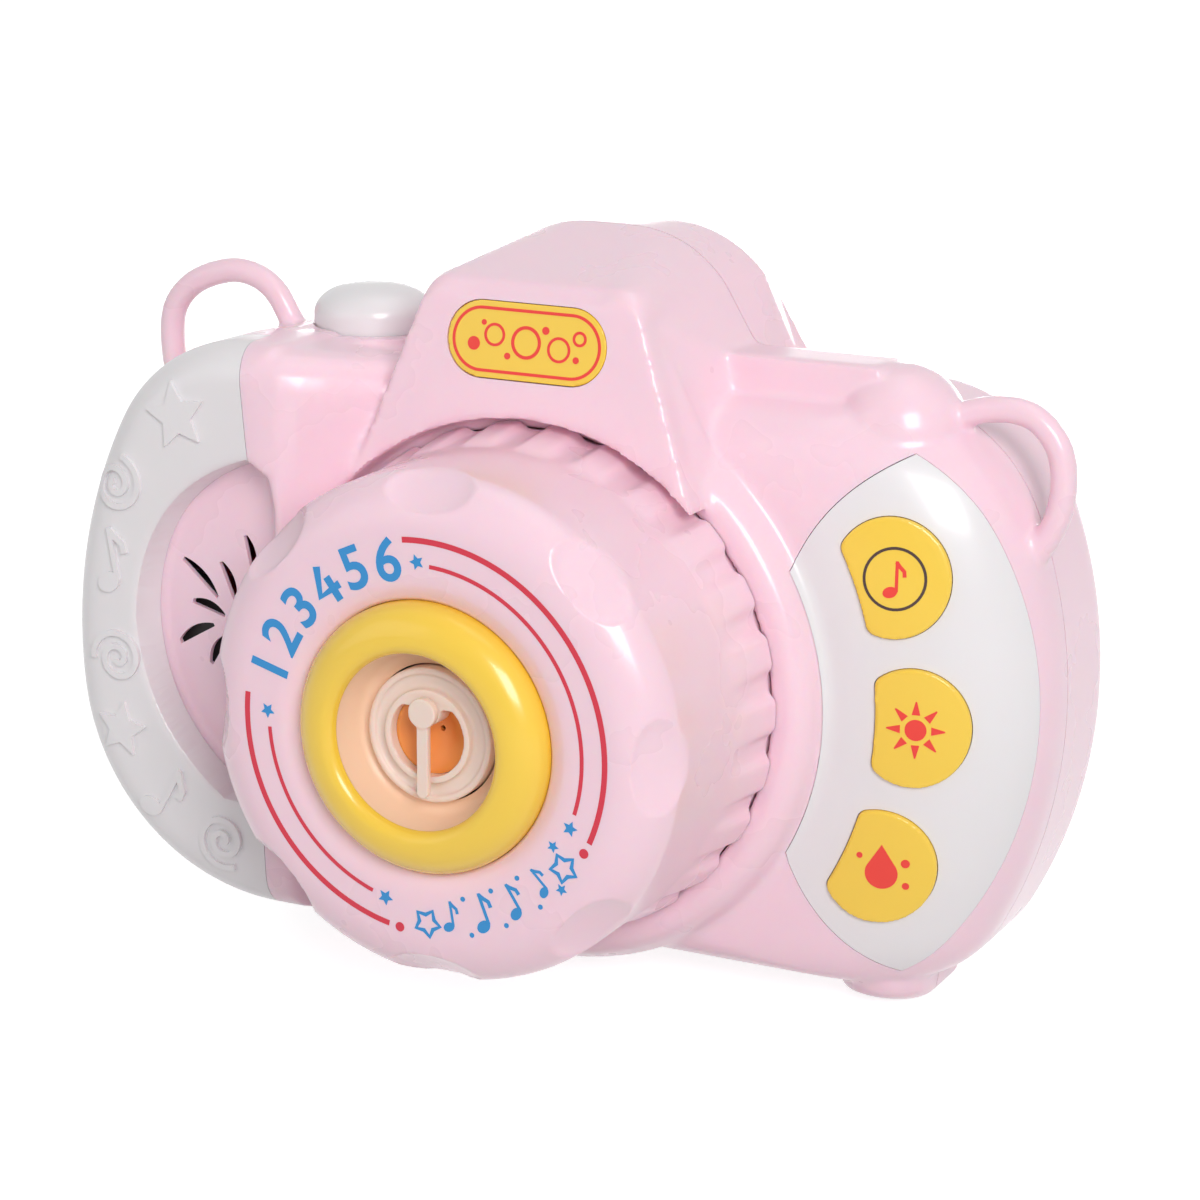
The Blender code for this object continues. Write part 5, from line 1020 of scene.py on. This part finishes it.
def pad_rise(turn, y):
    """Height of the grip pads round the skirt."""
    wave = smooth_step(-0.95, 0.35, cos(LENS_PADS * turn))
    along = (SKIRT_Y - y) / PAD_LENGTH
    left = max(1 - along, 0)
    return SKIRT_FLARE * left ** 2 + PAD_RISE * wave * (1 - (1 - left) ** 3)


def dimple(turn, radius, along):
    """Depth of the shallow oval dents on the shoulder, at a distance along the barrel's profile."""
    pitch = 2 * pi / DIMPLES
    swing = (turn - radians(DIMPLE_TURN) + pitch / 2) % pitch - pitch / 2
    near = (swing * radius / DIMPLE_HALF_WIDTH) ** 2 + (along / DIMPLE_HALF_LENGTH) ** 2
    return DIMPLE_DEPTH * max(1 - near, 0) ** 0.7


def smooth_step(low, high, value):
    t = min(max((value - low) / (high - low), 0), 1)
    return t * t * (3 - 2 * t)


def lens_rings():
    """Rings of points on the barrel's outside, from the skirt to the mouth."""
    profile = lens_outside()
    steps = [hypot(after[0] - before[0], after[1] - before[1]) for before, after in zip(profile, profile[1:])]
    place = lens_face_curve(DIMPLE_PLACE)
    middle = min(range(len(profile)), key=lambda i: hypot(profile[i][0] - place[0], profile[i][1] - place[1]))
    rings = []
    for i, (radius, y) in enumerate(profile):
        before, after = profile[max(i - 1, 0)], profile[min(i + 1, len(profile) - 1)]
        out = Vector((before[1] - after[1], after[0] - before[0])).normalized()
        along = sum(steps[:i]) - sum(steps[:middle])
        points = []
        for j in range(LENS_SEGMENTS):
            turn = 2 * pi * j / LENS_SEGMENTS
            sink = dimple(turn, radius, along)
            around = radius + pad_rise(turn, y) - out.x * sink
            points.append(at(around * cos(turn), y - out.y * sink, around * sin(turn)))
        rings.append(points)
    return rings


def lens_barrel():
    """Lens barrel as one clean skin, with its mouth and its hollow."""
    rings = lens_rings()
    neck_back = FACE_Y + WALL / 4 - GAP
    wide = TANK_FLANGE + 2 * GAP
    shoulder_radius, shoulder_y = lens_face_curve(0.5)
    thick = LENS_SKIN + DIMPLE_DEPTH
    inside = [(LENS_MOUTH, LENS_FACE_Y + LENS_SKIN + 0.6 * MM),
              (shoulder_radius - 2 * thick, shoulder_y + thick),
              (shoulder_radius - thick, shoulder_y + 2 * thick),
              (wide, TANK_BACK_Y - OVERRUN), (wide, neck_back), (LENS_NECK, neck_back),
              (LENS_NECK, SKIRT_Y + 0.5 * MM), (LENS_NECK, SKIRT_Y)]
    turns = [2 * pi * j / LENS_SEGMENTS for j in range(LENS_SEGMENTS)]
    rings += [[at(radius * cos(turn), y, radius * sin(turn)) for turn in turns] for radius, y in inside]
    bm = bmesh.new()
    rows = [[bm.verts.new(point) for point in points] for points in rings]
    for low, high in zip(rows, rows[1:] + rows[:1]):
        band(bm, high, low)
    return shade(add("lens_barrel_skin", bm), 45)


def lens_bezel():
    """Yellow snout in the lens mouth, highest near its bore."""
    profile = []
    for i in range(25):
        turn = pi / 2 * i / 24
        profile.append((BEZEL_CREST + (BEZEL_RADIUS - BEZEL_CREST) * cos(turn),
                        BEZEL_EDGE_Y + (BEZEL_FRONT_Y - BEZEL_EDGE_Y) * sin(turn)))
    for i in range(1, 13):
        turn = pi / 2 * i / 12
        profile.append((BEZEL_CREST + (BEZEL_BORE - BEZEL_CREST) * sin(turn),
                        BEZEL_LIP_Y + (BEZEL_FRONT_Y - BEZEL_LIP_Y) * cos(turn)))
    seat = BEZEL_BORE + CUP_WALL + GAP / 2
    profile += [(seat, BEZEL_LIP_Y), (seat, BEZEL_BACK_Y), (BEZEL_RADIUS, BEZEL_BACK_Y)]
    return shade(lathe("lens_bezel_ring", profile[::-1], 144))


def lens_cup():
    """Bowl behind the bezel, with a hole round the nozzle."""
    front = BEZEL_LIP_Y + GAP / 2
    rim = BEZEL_BORE + CUP_WALL
    bore = NOZZLE_RADIUS + RUN_GAP
    profile = [(rim, front), (rim, CUP_BACK_Y + CUP_WALL), (bore, CUP_BACK_Y + CUP_WALL), (bore, CUP_BACK_Y),
               (TANK_INNER, CUP_BACK_Y - 0.4 * MM), (BEZEL_BORE - 0.9 * MM, CUP_BACK_Y - 1.6 * MM),
               (BEZEL_BORE, front)]
    return shade(lathe("lens_cup_bowl", profile, 128), 60)


def bubble_nozzle():
    """Ring that carries the soap film, with a web for the wiper's pivot."""
    back = DUCT_FRONT_Y - GAP
    edge = NOZZLE_FRONT_Y + NOZZLE_STEP
    step = NOZZLE_RADIUS - NOZZLE_RIM
    mid = NOZZLE_BORE + NOZZLE_RIM
    low = NOZZLE_FRONT_Y + 2 * NOZZLE_STEP
    profile = [(NOZZLE_RADIUS, edge), (NOZZLE_RADIUS, back), (NOZZLE_BORE, back),
               (NOZZLE_BORE, NOZZLE_FRONT_Y), (mid, NOZZLE_FRONT_Y), (mid, low), (step, low), (step, edge)]
    made = lathe("nozzle_ring", profile, 128)
    half = NOZZLE_BORE + NOZZLE_RIM / 2
    swing = asin((WIPER_RISE + 0.4 * MM) / half)
    web = slab("nozzle_web", arc((0, 0), half, swing, pi - swing, 41), NOZZLE_FRONT_Y + 0.1 * MM,
               NOZZLE_FRONT_Y + NOZZLE_WEB)
    join(made, web, pin("nozzle_boss", WIPER_HUB, NOZZLE_FRONT_Y, NOZZLE_FRONT_Y + 4 * MM, 0, WIPER_RISE))
    cut(made, pin("nozzle_hole", WIPER_ROD + RUN_GAP, NOZZLE_FRONT_Y - OVERRUN, DUCT_FRONT_Y + OVERRUN,
                  0, WIPER_RISE))
    soften(made, FINE_VOXEL, 3)
    return shade(made)


def nozzle_liner():
    """Orange funnel inside the nozzle's bore."""
    front = NOZZLE_FRONT_Y + 2 * MM
    back = DUCT_FRONT_Y - GAP
    rim = NOZZLE_BORE - 0.05 * MM
    profile = [(rim, front), (rim, back), (LINER_HOLE, back), (LINER_HOLE, back - 1 * MM),
               (3 * MM, back - 1.4 * MM), (rim - 0.8 * MM, front)]
    return shade(lathe("nozzle_liner", profile, 96), 50)


def wiper_arm():
    back = NOZZLE_FRONT_Y - RUN_GAP
    front = back - WIPER_THICKNESS
    made = pin("wiper_blade", WIPER_HUB, front, back, 0, WIPER_RISE)
    half = WIPER_WIDTH / 2
    outline = ([(half, WIPER_RISE), (-half, WIPER_RISE)]
               + arc((0, WIPER_RISE - WIPER_LENGTH + half), half, pi, 2 * pi, 17))
    join(made, slab("blade", outline, front + 0.3 * MM, back - 0.1 * MM))
    soften(made, 0.2 * MM, 4)
    return shade(made)


def badge_plate():
    made = badge_slab("badge_face", 0, GAP - BADGE_DEPTH, 0)
    soften(made, FINE_VOXEL, 2)
    return shade(made)


# Prints and raised ornaments
def inflated(made, name, by):
    """Copy of a closed piece with its skin moved out."""
    other = copy_of(made, name)
    moves = [vertex.normal * by for vertex in other.data.vertices]
    for vertex, move in zip(other.data.vertices, moves):
        vertex.co += move
    return other


def spot(tree, x, z, spin=0):
    """Frame on a surface seen from the front, with local Z pointing out of it."""
    place, normal, _, _ = tree.ray_cast(at(x * MM, -FAR, z * MM), Vector((0, 1, 0)))
    across = Vector((0, 0, 1)).cross(normal).normalized()
    turn = Matrix((across, normal.cross(across), normal)).transposed().to_4x4()
    return Matrix.Translation(place) @ turn @ Matrix.Rotation(radians(spin), 4, "Z")


def plate(outline, frame_at, half=PRINT_HALF):
    """Bar with a flat outline in millimetres, through the surface at a frame."""
    return loft("plate", [[frame_at @ Vector((x * MM, y * MM, height)) for x, y in outline]
                          for height in (-half, half)])


def ribbon(path, width, frame_at, half=PRINT_HALF, closed=False):
    """Bar of even width along a flat path in millimetres."""
    count = len(path)
    sides = []
    for i in range(count):
        before = Vector(path[i - 1] if closed or i else path[0])
        after = Vector(path[(i + 1) % count] if closed else path[min(i + 1, count - 1)])
        along = (after - before).normalized()
        step = Vector((-along.y, along.x)) * width / 2
        sides.append((Vector(path[i]) + step, Vector(path[i]) - step))
    if not closed:
        return plate([left for left, _ in sides] + [right for _, right in reversed(sides)], frame_at, half)
    bm = bmesh.new()
    rows = []
    for left, right in sides:
        corners = ((left, -half), (right, -half), (right, half), (left, half))
        rows.append([bm.verts.new(frame_at @ Vector((flat.x * MM, flat.y * MM, height)))
                     for flat, height in corners])
    for low, high in zip(rows, rows[1:] + rows[:1]):
        band(bm, low, high)
    return add("ribbon", bm)


def star(radius, inner=0.48, points=5, spin=90):
    outline = []
    for i in range(2 * points):
        reach = radius if i % 2 == 0 else radius * inner
        turn = radians(spin + 180 * i / points)
        outline.append((reach * cos(turn), reach * sin(turn)))
    return outline


def oval(wide, tall, lean=0, x=0, y=0, count=28):
    lean = radians(lean)
    points = []
    for i in range(count):
        turn = 2 * pi * i / count
        px, py = wide * cos(turn), tall * sin(turn)
        points.append((x + px * cos(lean) - py * sin(lean), y + px * sin(lean) + py * cos(lean)))
    return points


def disc(radius, x=0, y=0, count=28):
    return oval(radius, radius, 0, x, y, count)


def scaled(points, size):
    return [(x * size, y * size) for x, y in points]


def spiral(radius, turns, count=60):
    path = []
    for i in range(count):
        share = 0.1 + 0.9 * i / (count - 1)
        turn = 2 * pi * turns * share
        path.append((radius * share * cos(turn), radius * share * sin(turn)))
    return path


def note(frame_at, size, half):
    """Eighth note about a unit tall, scaled to a size in millimetres."""
    head = plate(scaled(oval(0.21, 0.155, 20, -0.12, -0.38), size), frame_at, half)
    stem = ribbon(scaled([(0.055, -0.36), (0.055, 0.5)], size), 0.09 * size, frame_at, half)
    flag = [(0.04, 0.47), (0.12, 0.36), (0.26, 0.22), (0.27, 0.06)]
    return join(head, stem, ribbon(scaled(flag, size), 0.11 * size, frame_at, half))


def lay_on(name, bars, target, lift, sink):
    """Trim bars to a thin layer that follows the surface they cross."""
    bm = bmesh.new()
    for bar in bars:
        bm.from_mesh(bar.data)
        bpy.data.objects.remove(bar)
    made = add(name, bm)
    keep(made, inflated(target, name + "_top", lift))
    cut(made, inflated(target, name + "_under", -sink))
    return shade(made, 50)


def printed(name, bars, target):
    return lay_on(name, bars, target, PRINT_LIFT, PRINT_SINK)


def tree_of(made):
    return BVHTree.FromPolygons([vertex.co for vertex in made.data.vertices],
                                [list(face.vertices) for face in made.data.polygons])


def grip_ornaments(skin):
    """Stars, spirals and notes raised on the white grip."""
    tree = tree_of(skin)
    bars = [plate(star(size), spot(tree, x, z, spin), RAISED_HALF) for size, x, z, spin in GRIP_STARS]
    bars += [note(spot(tree, x, z, spin), GRIP_NOTE, RAISED_HALF) for x, z, spin in GRIP_NOTES]
    bars += [ribbon(spiral(5.4, 2.1), 1.1, spot(tree, x, z, spin), RAISED_HALF)
             for x, z, spin in GRIP_SPIRALS]
    return lay_on("grip_ornaments", bars, skin, RAISED_LIFT, RAISED_SINK)


def ring_frame(radius, angle, spin=0):
    """Frame on the lens face at a polar place, with local Y pointing away from the axis."""
    turn = radians(angle)
    across = Vector((sin(turn), 0, -cos(turn)))
    away = Vector((cos(turn), 0, sin(turn)))
    facing = Matrix((across, away, across.cross(away))).transposed().to_4x4()
    centre = at(radius * MM * cos(turn), LENS_FACE_Y, radius * MM * sin(turn))
    return Matrix.Translation(centre) @ facing @ Matrix.Rotation(radians(spin), 4, "Z")


def digit(character, frame_at, height, half):
    """Solid numeral in the plain built-in type."""
    curve = bpy.data.curves.new("digit", "FONT")
    curve.body = character
    curve.size = height * MM * 1.4
    curve.offset = 0.18 * MM
    curve.extrude = half
    curve.align_x = "CENTER"
    curve.align_y = "CENTER"
    curve.resolution_u = 6
    return solid_of(curve, 1e-7, frame_at)


def open_four(frame_at, height, half):
    """Numeral four with an open top, as two strokes."""
    strokes = ([(0.05, 0.5), (-0.3, -0.16), (0.36, -0.16)], [(0.14, 0.16), (0.14, -0.5)])
    return join(*[ribbon(scaled(stroke, height), 0.2 * height, frame_at, half) for stroke in strokes])


def lens_prints(barrel):
    """Red arcs, blue numerals, stars and notes on the lens face."""
    centre = Matrix.Translation(at(0, LENS_FACE_Y, 0)) @ Matrix.Rotation(pi / 2, 4, "X")
    deep = LENS_PRINT_HALF
    red = []
    for radius, first, last, width in LENS_ARCS:
        red.append(ribbon(arc((0, 0), radius, radians(first), radians(last), 60), width, centre, deep))
    red += [plate(disc(0.85), ring_frame(radius, angle), deep) for radius, angle in LENS_DOTS]
    blue = [open_four(ring_frame(DIGIT_RING, LENS_FOUR), FOUR_HEIGHT, deep)]
    blue += [digit(character, ring_frame(DIGIT_RING, angle), DIGIT_HEIGHT, deep)
             for character, angle in LENS_DIGITS]
    blue += [plate(star(size), ring_frame(radius, angle, 20), deep) for radius, angle, size in LENS_STARS]
    for radius, angle in LENS_OPEN_STARS:
        blue.append(ribbon(star(2.5, 0.6), 0.75, ring_frame(radius, angle, 10), deep, True))
    blue += [note(ring_frame(LENS_NOTE_RING, angle, 180), size, deep) for angle, size in LENS_NOTES]
    blue += [plate(disc(0.45), ring_frame(radius, angle), deep) for radius, angle in LENS_SPECKS]
    return printed("lens_print_red", red, barrel), printed("lens_print_blue", blue, barrel)


def key_frame(index):
    """Frame on a key's face, with local Z pointing out along its axis."""
    out = -key_axis(index)
    across = Vector((0, 0, 1)).cross(out).normalized()
    turn = Matrix((across, out.cross(across), out)).transposed().to_4x4()
    centre = Matrix.Translation(key_point(index, FACE_Y + 0.6 * MM))
    return centre @ turn @ Matrix.Translation((0.6 * MM, 0, 0))


def key_prints(index, cap):
    """A plain sign on each key: a note in a ring, a sun, a droplet with bubbles."""
    place = key_frame(index)
    deep = KEY_PRINT_HALF
    if index == 0:
        circle = ribbon(disc(5.3, count=48), 0.5, place, deep, True)
        return [(printed("key_top_ring", [circle], cap), "brown_print"),
                (printed("key_top_sign", [note(place, 6.2, deep)], cap), "orange_print")]
    if index == 1:
        ray = [(2.7, -0.75), (2.7, 0.75), (5.1, 0.12), (5.1, -0.12)]
        bars = [plate(disc(1.9), place, deep)]
        for i in range(SUN_RAYS):
            bars.append(plate(ray, place @ Matrix.Rotation(2 * pi * i / SUN_RAYS, 4, "Z"), deep))
        return [(printed("key_middle_sign", bars, cap), "orange_print")]
    drop = [(0, 4.6)] + arc((0, -0.8), 2.9, radians(28), radians(-208), 40)
    bars = [plate(drop, place, deep)]
    bars += [plate(disc(radius, x, y), place, deep) for x, y, radius in DROP_BUBBLES]
    return [(printed("key_bottom_sign", bars, cap), "orange_print")]


def badge_print(badge):
    """Red border line and bubbles on the badge."""
    place = badge_matrix()
    border = stadium(BADGE_LENGTH / MM - BADGE_BORDER, BADGE_HEIGHT / MM - BADGE_BORDER, 32)
    bars = [ribbon(border, 0.55, place, closed=True), ribbon(disc(2.6, count=40), 0.6, place, closed=True)]
    bars += [ribbon(disc(radius, x, y, 32), 0.5, place, closed=True) for x, y, radius in BADGE_RINGS]
    bars += [plate(disc(radius, x, y), place) for x, y, radius in BADGE_DOTS]
    return printed("badge_print", bars, badge)


# Materials: colour, roughness, grain, coat and share of light that sinks in
LOOKS = {
    "pink_plastic": ((0.960, 0.670, 0.765), 0.28, 0.04, 0.3, 0.35),
    "white_plastic": ((0.82, 0.79, 0.805), 0.30, 0.04, 0.25, 0.08),
    "yellow_plastic": ((0.940, 0.620, 0.050), 0.26, 0.03, 0.35, 0.05),
    "peach_plastic": ((0.930, 0.640, 0.450), 0.40, 0.06, 0.1, 0.15),
    "orange_plastic": ((0.900, 0.300, 0.060), 0.45, 0.06, 0.1, 0.3),
    "natural_plastic": ((0.870, 0.710, 0.630), 0.35, 0.05, 0.2, 0.35),
    "grey_plastic": ((0.35, 0.36, 0.38), 0.50, 0.1, 0, 0),
    "black_plastic": ((0.03, 0.03, 0.03), 0.50, 0.1, 0, 0),
    "clear_plastic": ((0.80, 0.85, 0.85), 0.25, 0.03, 0.3, 0.3),
    "green_board": ((0.03, 0.22, 0.10), 0.45, 0.2, 0.2, 0),
    "steel": ((0.60, 0.60, 0.61), 0.30, 0.15, 0, 0),
    "black_rubber": ((0.06, 0.06, 0.06), 0.80, 0.2, 0, 0),
    "cell_can": ((0.10, 0.10, 0.11), 0.35, 0.05, 0.2, 0),
    "red_print": ((0.690, 0.022, 0.055), 0.35, 0.03, 0.1, 0),
    "orange_print": ((0.860, 0.045, 0.030), 0.35, 0.03, 0.1, 0),
    "blue_print": ((0.018, 0.270, 0.640), 0.35, 0.03, 0.1, 0),
    "brown_print": ((0.050, 0.020, 0.015), 0.35, 0.03, 0.1, 0),
}
METALS = ("steel",)


def set_inputs(node, values):
    for name, value in values.items():
        node.inputs[name].default_value = value


def add_node(tree, kind, values):
    """New shader node with some of its inputs set."""
    made = tree.nodes.new("ShaderNode" + kind)
    set_inputs(made, values)
    return made


def material(name, colour, roughness, grain, coat, depth):
    """Moulded plastic or plated metal: faint cloudiness, uneven gloss and a fine grain."""
    made = bpy.data.materials.new(name)
    made.use_nodes = True
    tree = made.node_tree
    shader = tree.nodes["Principled BSDF"]
    set_inputs(shader, {"Coat Weight": coat, "Coat Roughness": 0.12, "Subsurface Weight": depth,
                        "Subsurface Scale": 1.5 * MM, "Metallic": int(name in METALS)})
    place = tree.nodes.new("ShaderNodeTexCoord")
    cloud = add_node(tree, "TexNoise", {"Scale": 45, "Detail": 3})
    tint = tree.nodes.new("ShaderNodeMix")
    tint.data_type = "RGBA"
    set_inputs(tint, {"A": (*[c * 0.975 for c in colour], 1), "B": (*[min(c * 1.02, 1) for c in colour], 1)})
    gloss = add_node(tree, "MapRange", {"To Min": roughness * 0.85, "To Max": roughness * 1.15})
    fine = add_node(tree, "TexNoise", {"Scale": 2500})
    bump = add_node(tree, "Bump", {"Strength": grain, "Distance": 0.05 * MM})
    routes = ((place, "Object", cloud, "Vector"), (cloud, "Fac", tint, "Factor"),
              (tint, "Result", shader, "Base Color"), (cloud, "Fac", gloss, "Value"),
              (gloss, "Result", shader, "Roughness"), (place, "Object", fine, "Vector"),
              (fine, "Fac", bump, "Height"), (bump, "Normal", shader, "Normal"))
    for start, socket, end, entry in routes:
        tree.links.new(start.outputs[socket], end.inputs[entry])
    return made


def dress(piece, body, slot, *nodes):
    """Give a piece its material, its body and the CAD nodes that it stands for."""
    piece.data.materials.clear()
    piece.data.materials.append(MATERIALS[slot])
    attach(piece, body)
    if nodes:
        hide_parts(*nodes)
    return piece


# Camera, light and stage
VIEW_AZIMUTH = 26.5
VIEW_ELEVATION = 14.9
VIEW_ROLL = 0.5
VIEW_DISTANCE = 582.67 * MM
VIEW_TARGET = Vector((11.44, -1, 72.455)) * MM
FOCAL_LENGTH = 99
FLOOR_GLOW = 0.8
FLOOR_RADIUS = 4
FLOOR_DROP = 0.2 * MM
WORLD_LEVEL = 0.36
LAMP_AIM = (0, 0, 0.06)
LAMPS = (
    ("key_light", (0.72, -0.8, 0.62), (0.5, 0.5), 8.2),
    ("fill_light", (-0.6, -0.7, 0.4), (0.6, 0.6), 0.8),
    ("top_light", (0.1, 0.1, 0.9), (0.7, 0.5), 0.8),
    ("back_light", (-0.25, 1.0, 0.12), (0.8, 0.2), 2.4),
)


def camera():
    turn, rise, roll = (radians(angle) for angle in (VIEW_AZIMUTH, VIEW_ELEVATION, VIEW_ROLL))
    back = Vector((sin(turn) * cos(rise), -cos(turn) * cos(rise), sin(rise)))
    right = Vector((cos(turn), sin(turn), 0))
    up = back.cross(right)
    across = right * cos(roll) + up * sin(roll)
    above = up * cos(roll) - right * sin(roll)
    data = bpy.data.cameras.new("camera")
    data.lens = FOCAL_LENGTH
    data.sensor_width = 36
    data.clip_start = 0.01
    made = link("camera", data)
    made.matrix_world = Matrix.Translation(VIEW_TARGET + back * VIEW_DISTANCE) @ Matrix(
        (across, above, back)).transposed().to_4x4()
    bpy.context.scene.camera = made


def softbox(name, place, size, power):
    data = bpy.data.lights.new(name, "AREA")
    data.shape = "RECTANGLE"
    data.size, data.size_y = size
    data.energy = power
    made = link(name, data)
    made.location = place
    made.rotation_euler = (Vector(LAMP_AIM) - Vector(place)).to_track_quat("-Z", "Y").to_euler()


def seen_rays(tree):
    """Socket that is 1 for what the camera sees, straight or by a mirror or clear surface."""
    rays = tree.nodes.new("ShaderNodeLightPath")
    seen = rays.outputs["Is Camera Ray"]
    for kind in ("Is Glossy Ray", "Is Transmission Ray"):
        either = tree.nodes.new("ShaderNodeMath")
        either.operation = "MAXIMUM"
        tree.links.new(seen, either.inputs[0])
        tree.links.new(rays.outputs[kind], either.inputs[1])
        seen = either.outputs["Value"]
    return seen


def backdrop_material():
    """Pale floor that the camera and reflections see as white, with the toy's shadow kept."""
    made = bpy.data.materials.new("backdrop")
    made.use_nodes = True
    shader = made.node_tree.nodes["Principled BSDF"]
    set_inputs(shader, {"Base Color": (0.6, 0.6, 0.6, 1), "Roughness": 0.9,
                        "Emission Color": (FLOOR_GLOW, FLOOR_GLOW, FLOOR_GLOW, 1)})
    made.node_tree.links.new(seen_rays(made.node_tree), shader.inputs["Emission Strength"])
    return made


def stage():
    bm = bmesh.new()
    bmesh.ops.create_circle(bm, cap_ends=True, segments=64, radius=FLOOR_RADIUS)
    floor = add("floor", bm, Matrix.Translation((0, 0, -FLOOR_DROP)))
    floor.data.materials.append(backdrop_material())
    world = bpy.data.worlds.new("studio")
    bpy.context.scene.world = world
    world.use_nodes = True
    nodes = world.node_tree.nodes
    links = world.node_tree.links
    fill = nodes["Background"]
    set_inputs(fill, {"Color": (1, 1, 1, 1), "Strength": WORLD_LEVEL})
    white = add_node(world.node_tree, "Background", {"Color": (1, 1, 1, 1), "Strength": 1})
    mix = nodes.new("ShaderNodeMixShader")
    links.new(seen_rays(world.node_tree), mix.inputs["Fac"])
    links.new(fill.outputs["Background"], mix.inputs[1])
    links.new(white.outputs["Background"], mix.inputs[2])
    links.new(mix.outputs["Shader"], nodes["World Output"].inputs["Surface"])
    for lamp in LAMPS:
        softbox(*lamp)
    bpy.context.scene.view_settings.view_transform = "Standard"


MATERIALS = {name: material(name, *look) for name, look in LOOKS.items()}
NODE_SLOTS = {entry["node"]: entry["material_slot"] for entry in frame["record"]["subparts"]}


def dress_nodes():
    """Give the CAD nodes that stay their procedural materials."""
    for name, made in frame["nodes"].items():
        for slot in made.material_slots:
            slot.material = MATERIALS[NODE_SLOTS[name]]


def build():
    dress_nodes()
    skin = case_skin()
    dress(front_shell(skin), "case", "pink_plastic", "front_shell", "strap_loop_left", "strap_loop_right")
    dress(rear_shell(skin), "case", "pink_plastic", "rear_shell")
    dress(grip_ring(skin), "case", "white_plastic", "grip_ring")
    dress(grip_ornaments(skin), "case", "white_plastic")
    dress(side_panel(skin), "case", "white_plastic", "side_panel")
    bpy.data.objects.remove(skin)
    dress(battery_door(), "door", "pink_plastic", "battery_door")
    for index, body in enumerate(("top_key", "middle_key", "bottom_key")):
        cap = dress(key(index), body, "yellow_plastic", KEY_NAMES[index])
        for sign, slot in key_prints(index, cap):
            dress(sign, body, slot)
    dress(shutter_button(), "shutter", "white_plastic", "shutter_button")
    badge = dress(badge_plate(), "case", "yellow_plastic", "badge_plate")
    dress(badge_print(badge), "case", "orange_print")
    barrel = dress(lens_barrel(), "lens", "pink_plastic", "lens_barrel")
    for made, slot in zip(lens_prints(barrel), ("red_print", "blue_print")):
        dress(made, "lens", slot)
    dress(lens_bezel(), "lens", "yellow_plastic", "lens_bezel")
    dress(lens_cup(), "lens", "peach_plastic", "lens_cup")
    dress(bubble_nozzle(), "case", "natural_plastic", "bubble_nozzle")
    dress(nozzle_liner(), "case", "orange_plastic")
    dress(wiper_arm(), "wiper", "natural_plastic", "wiper_arm")
    stage()
    camera()


build()
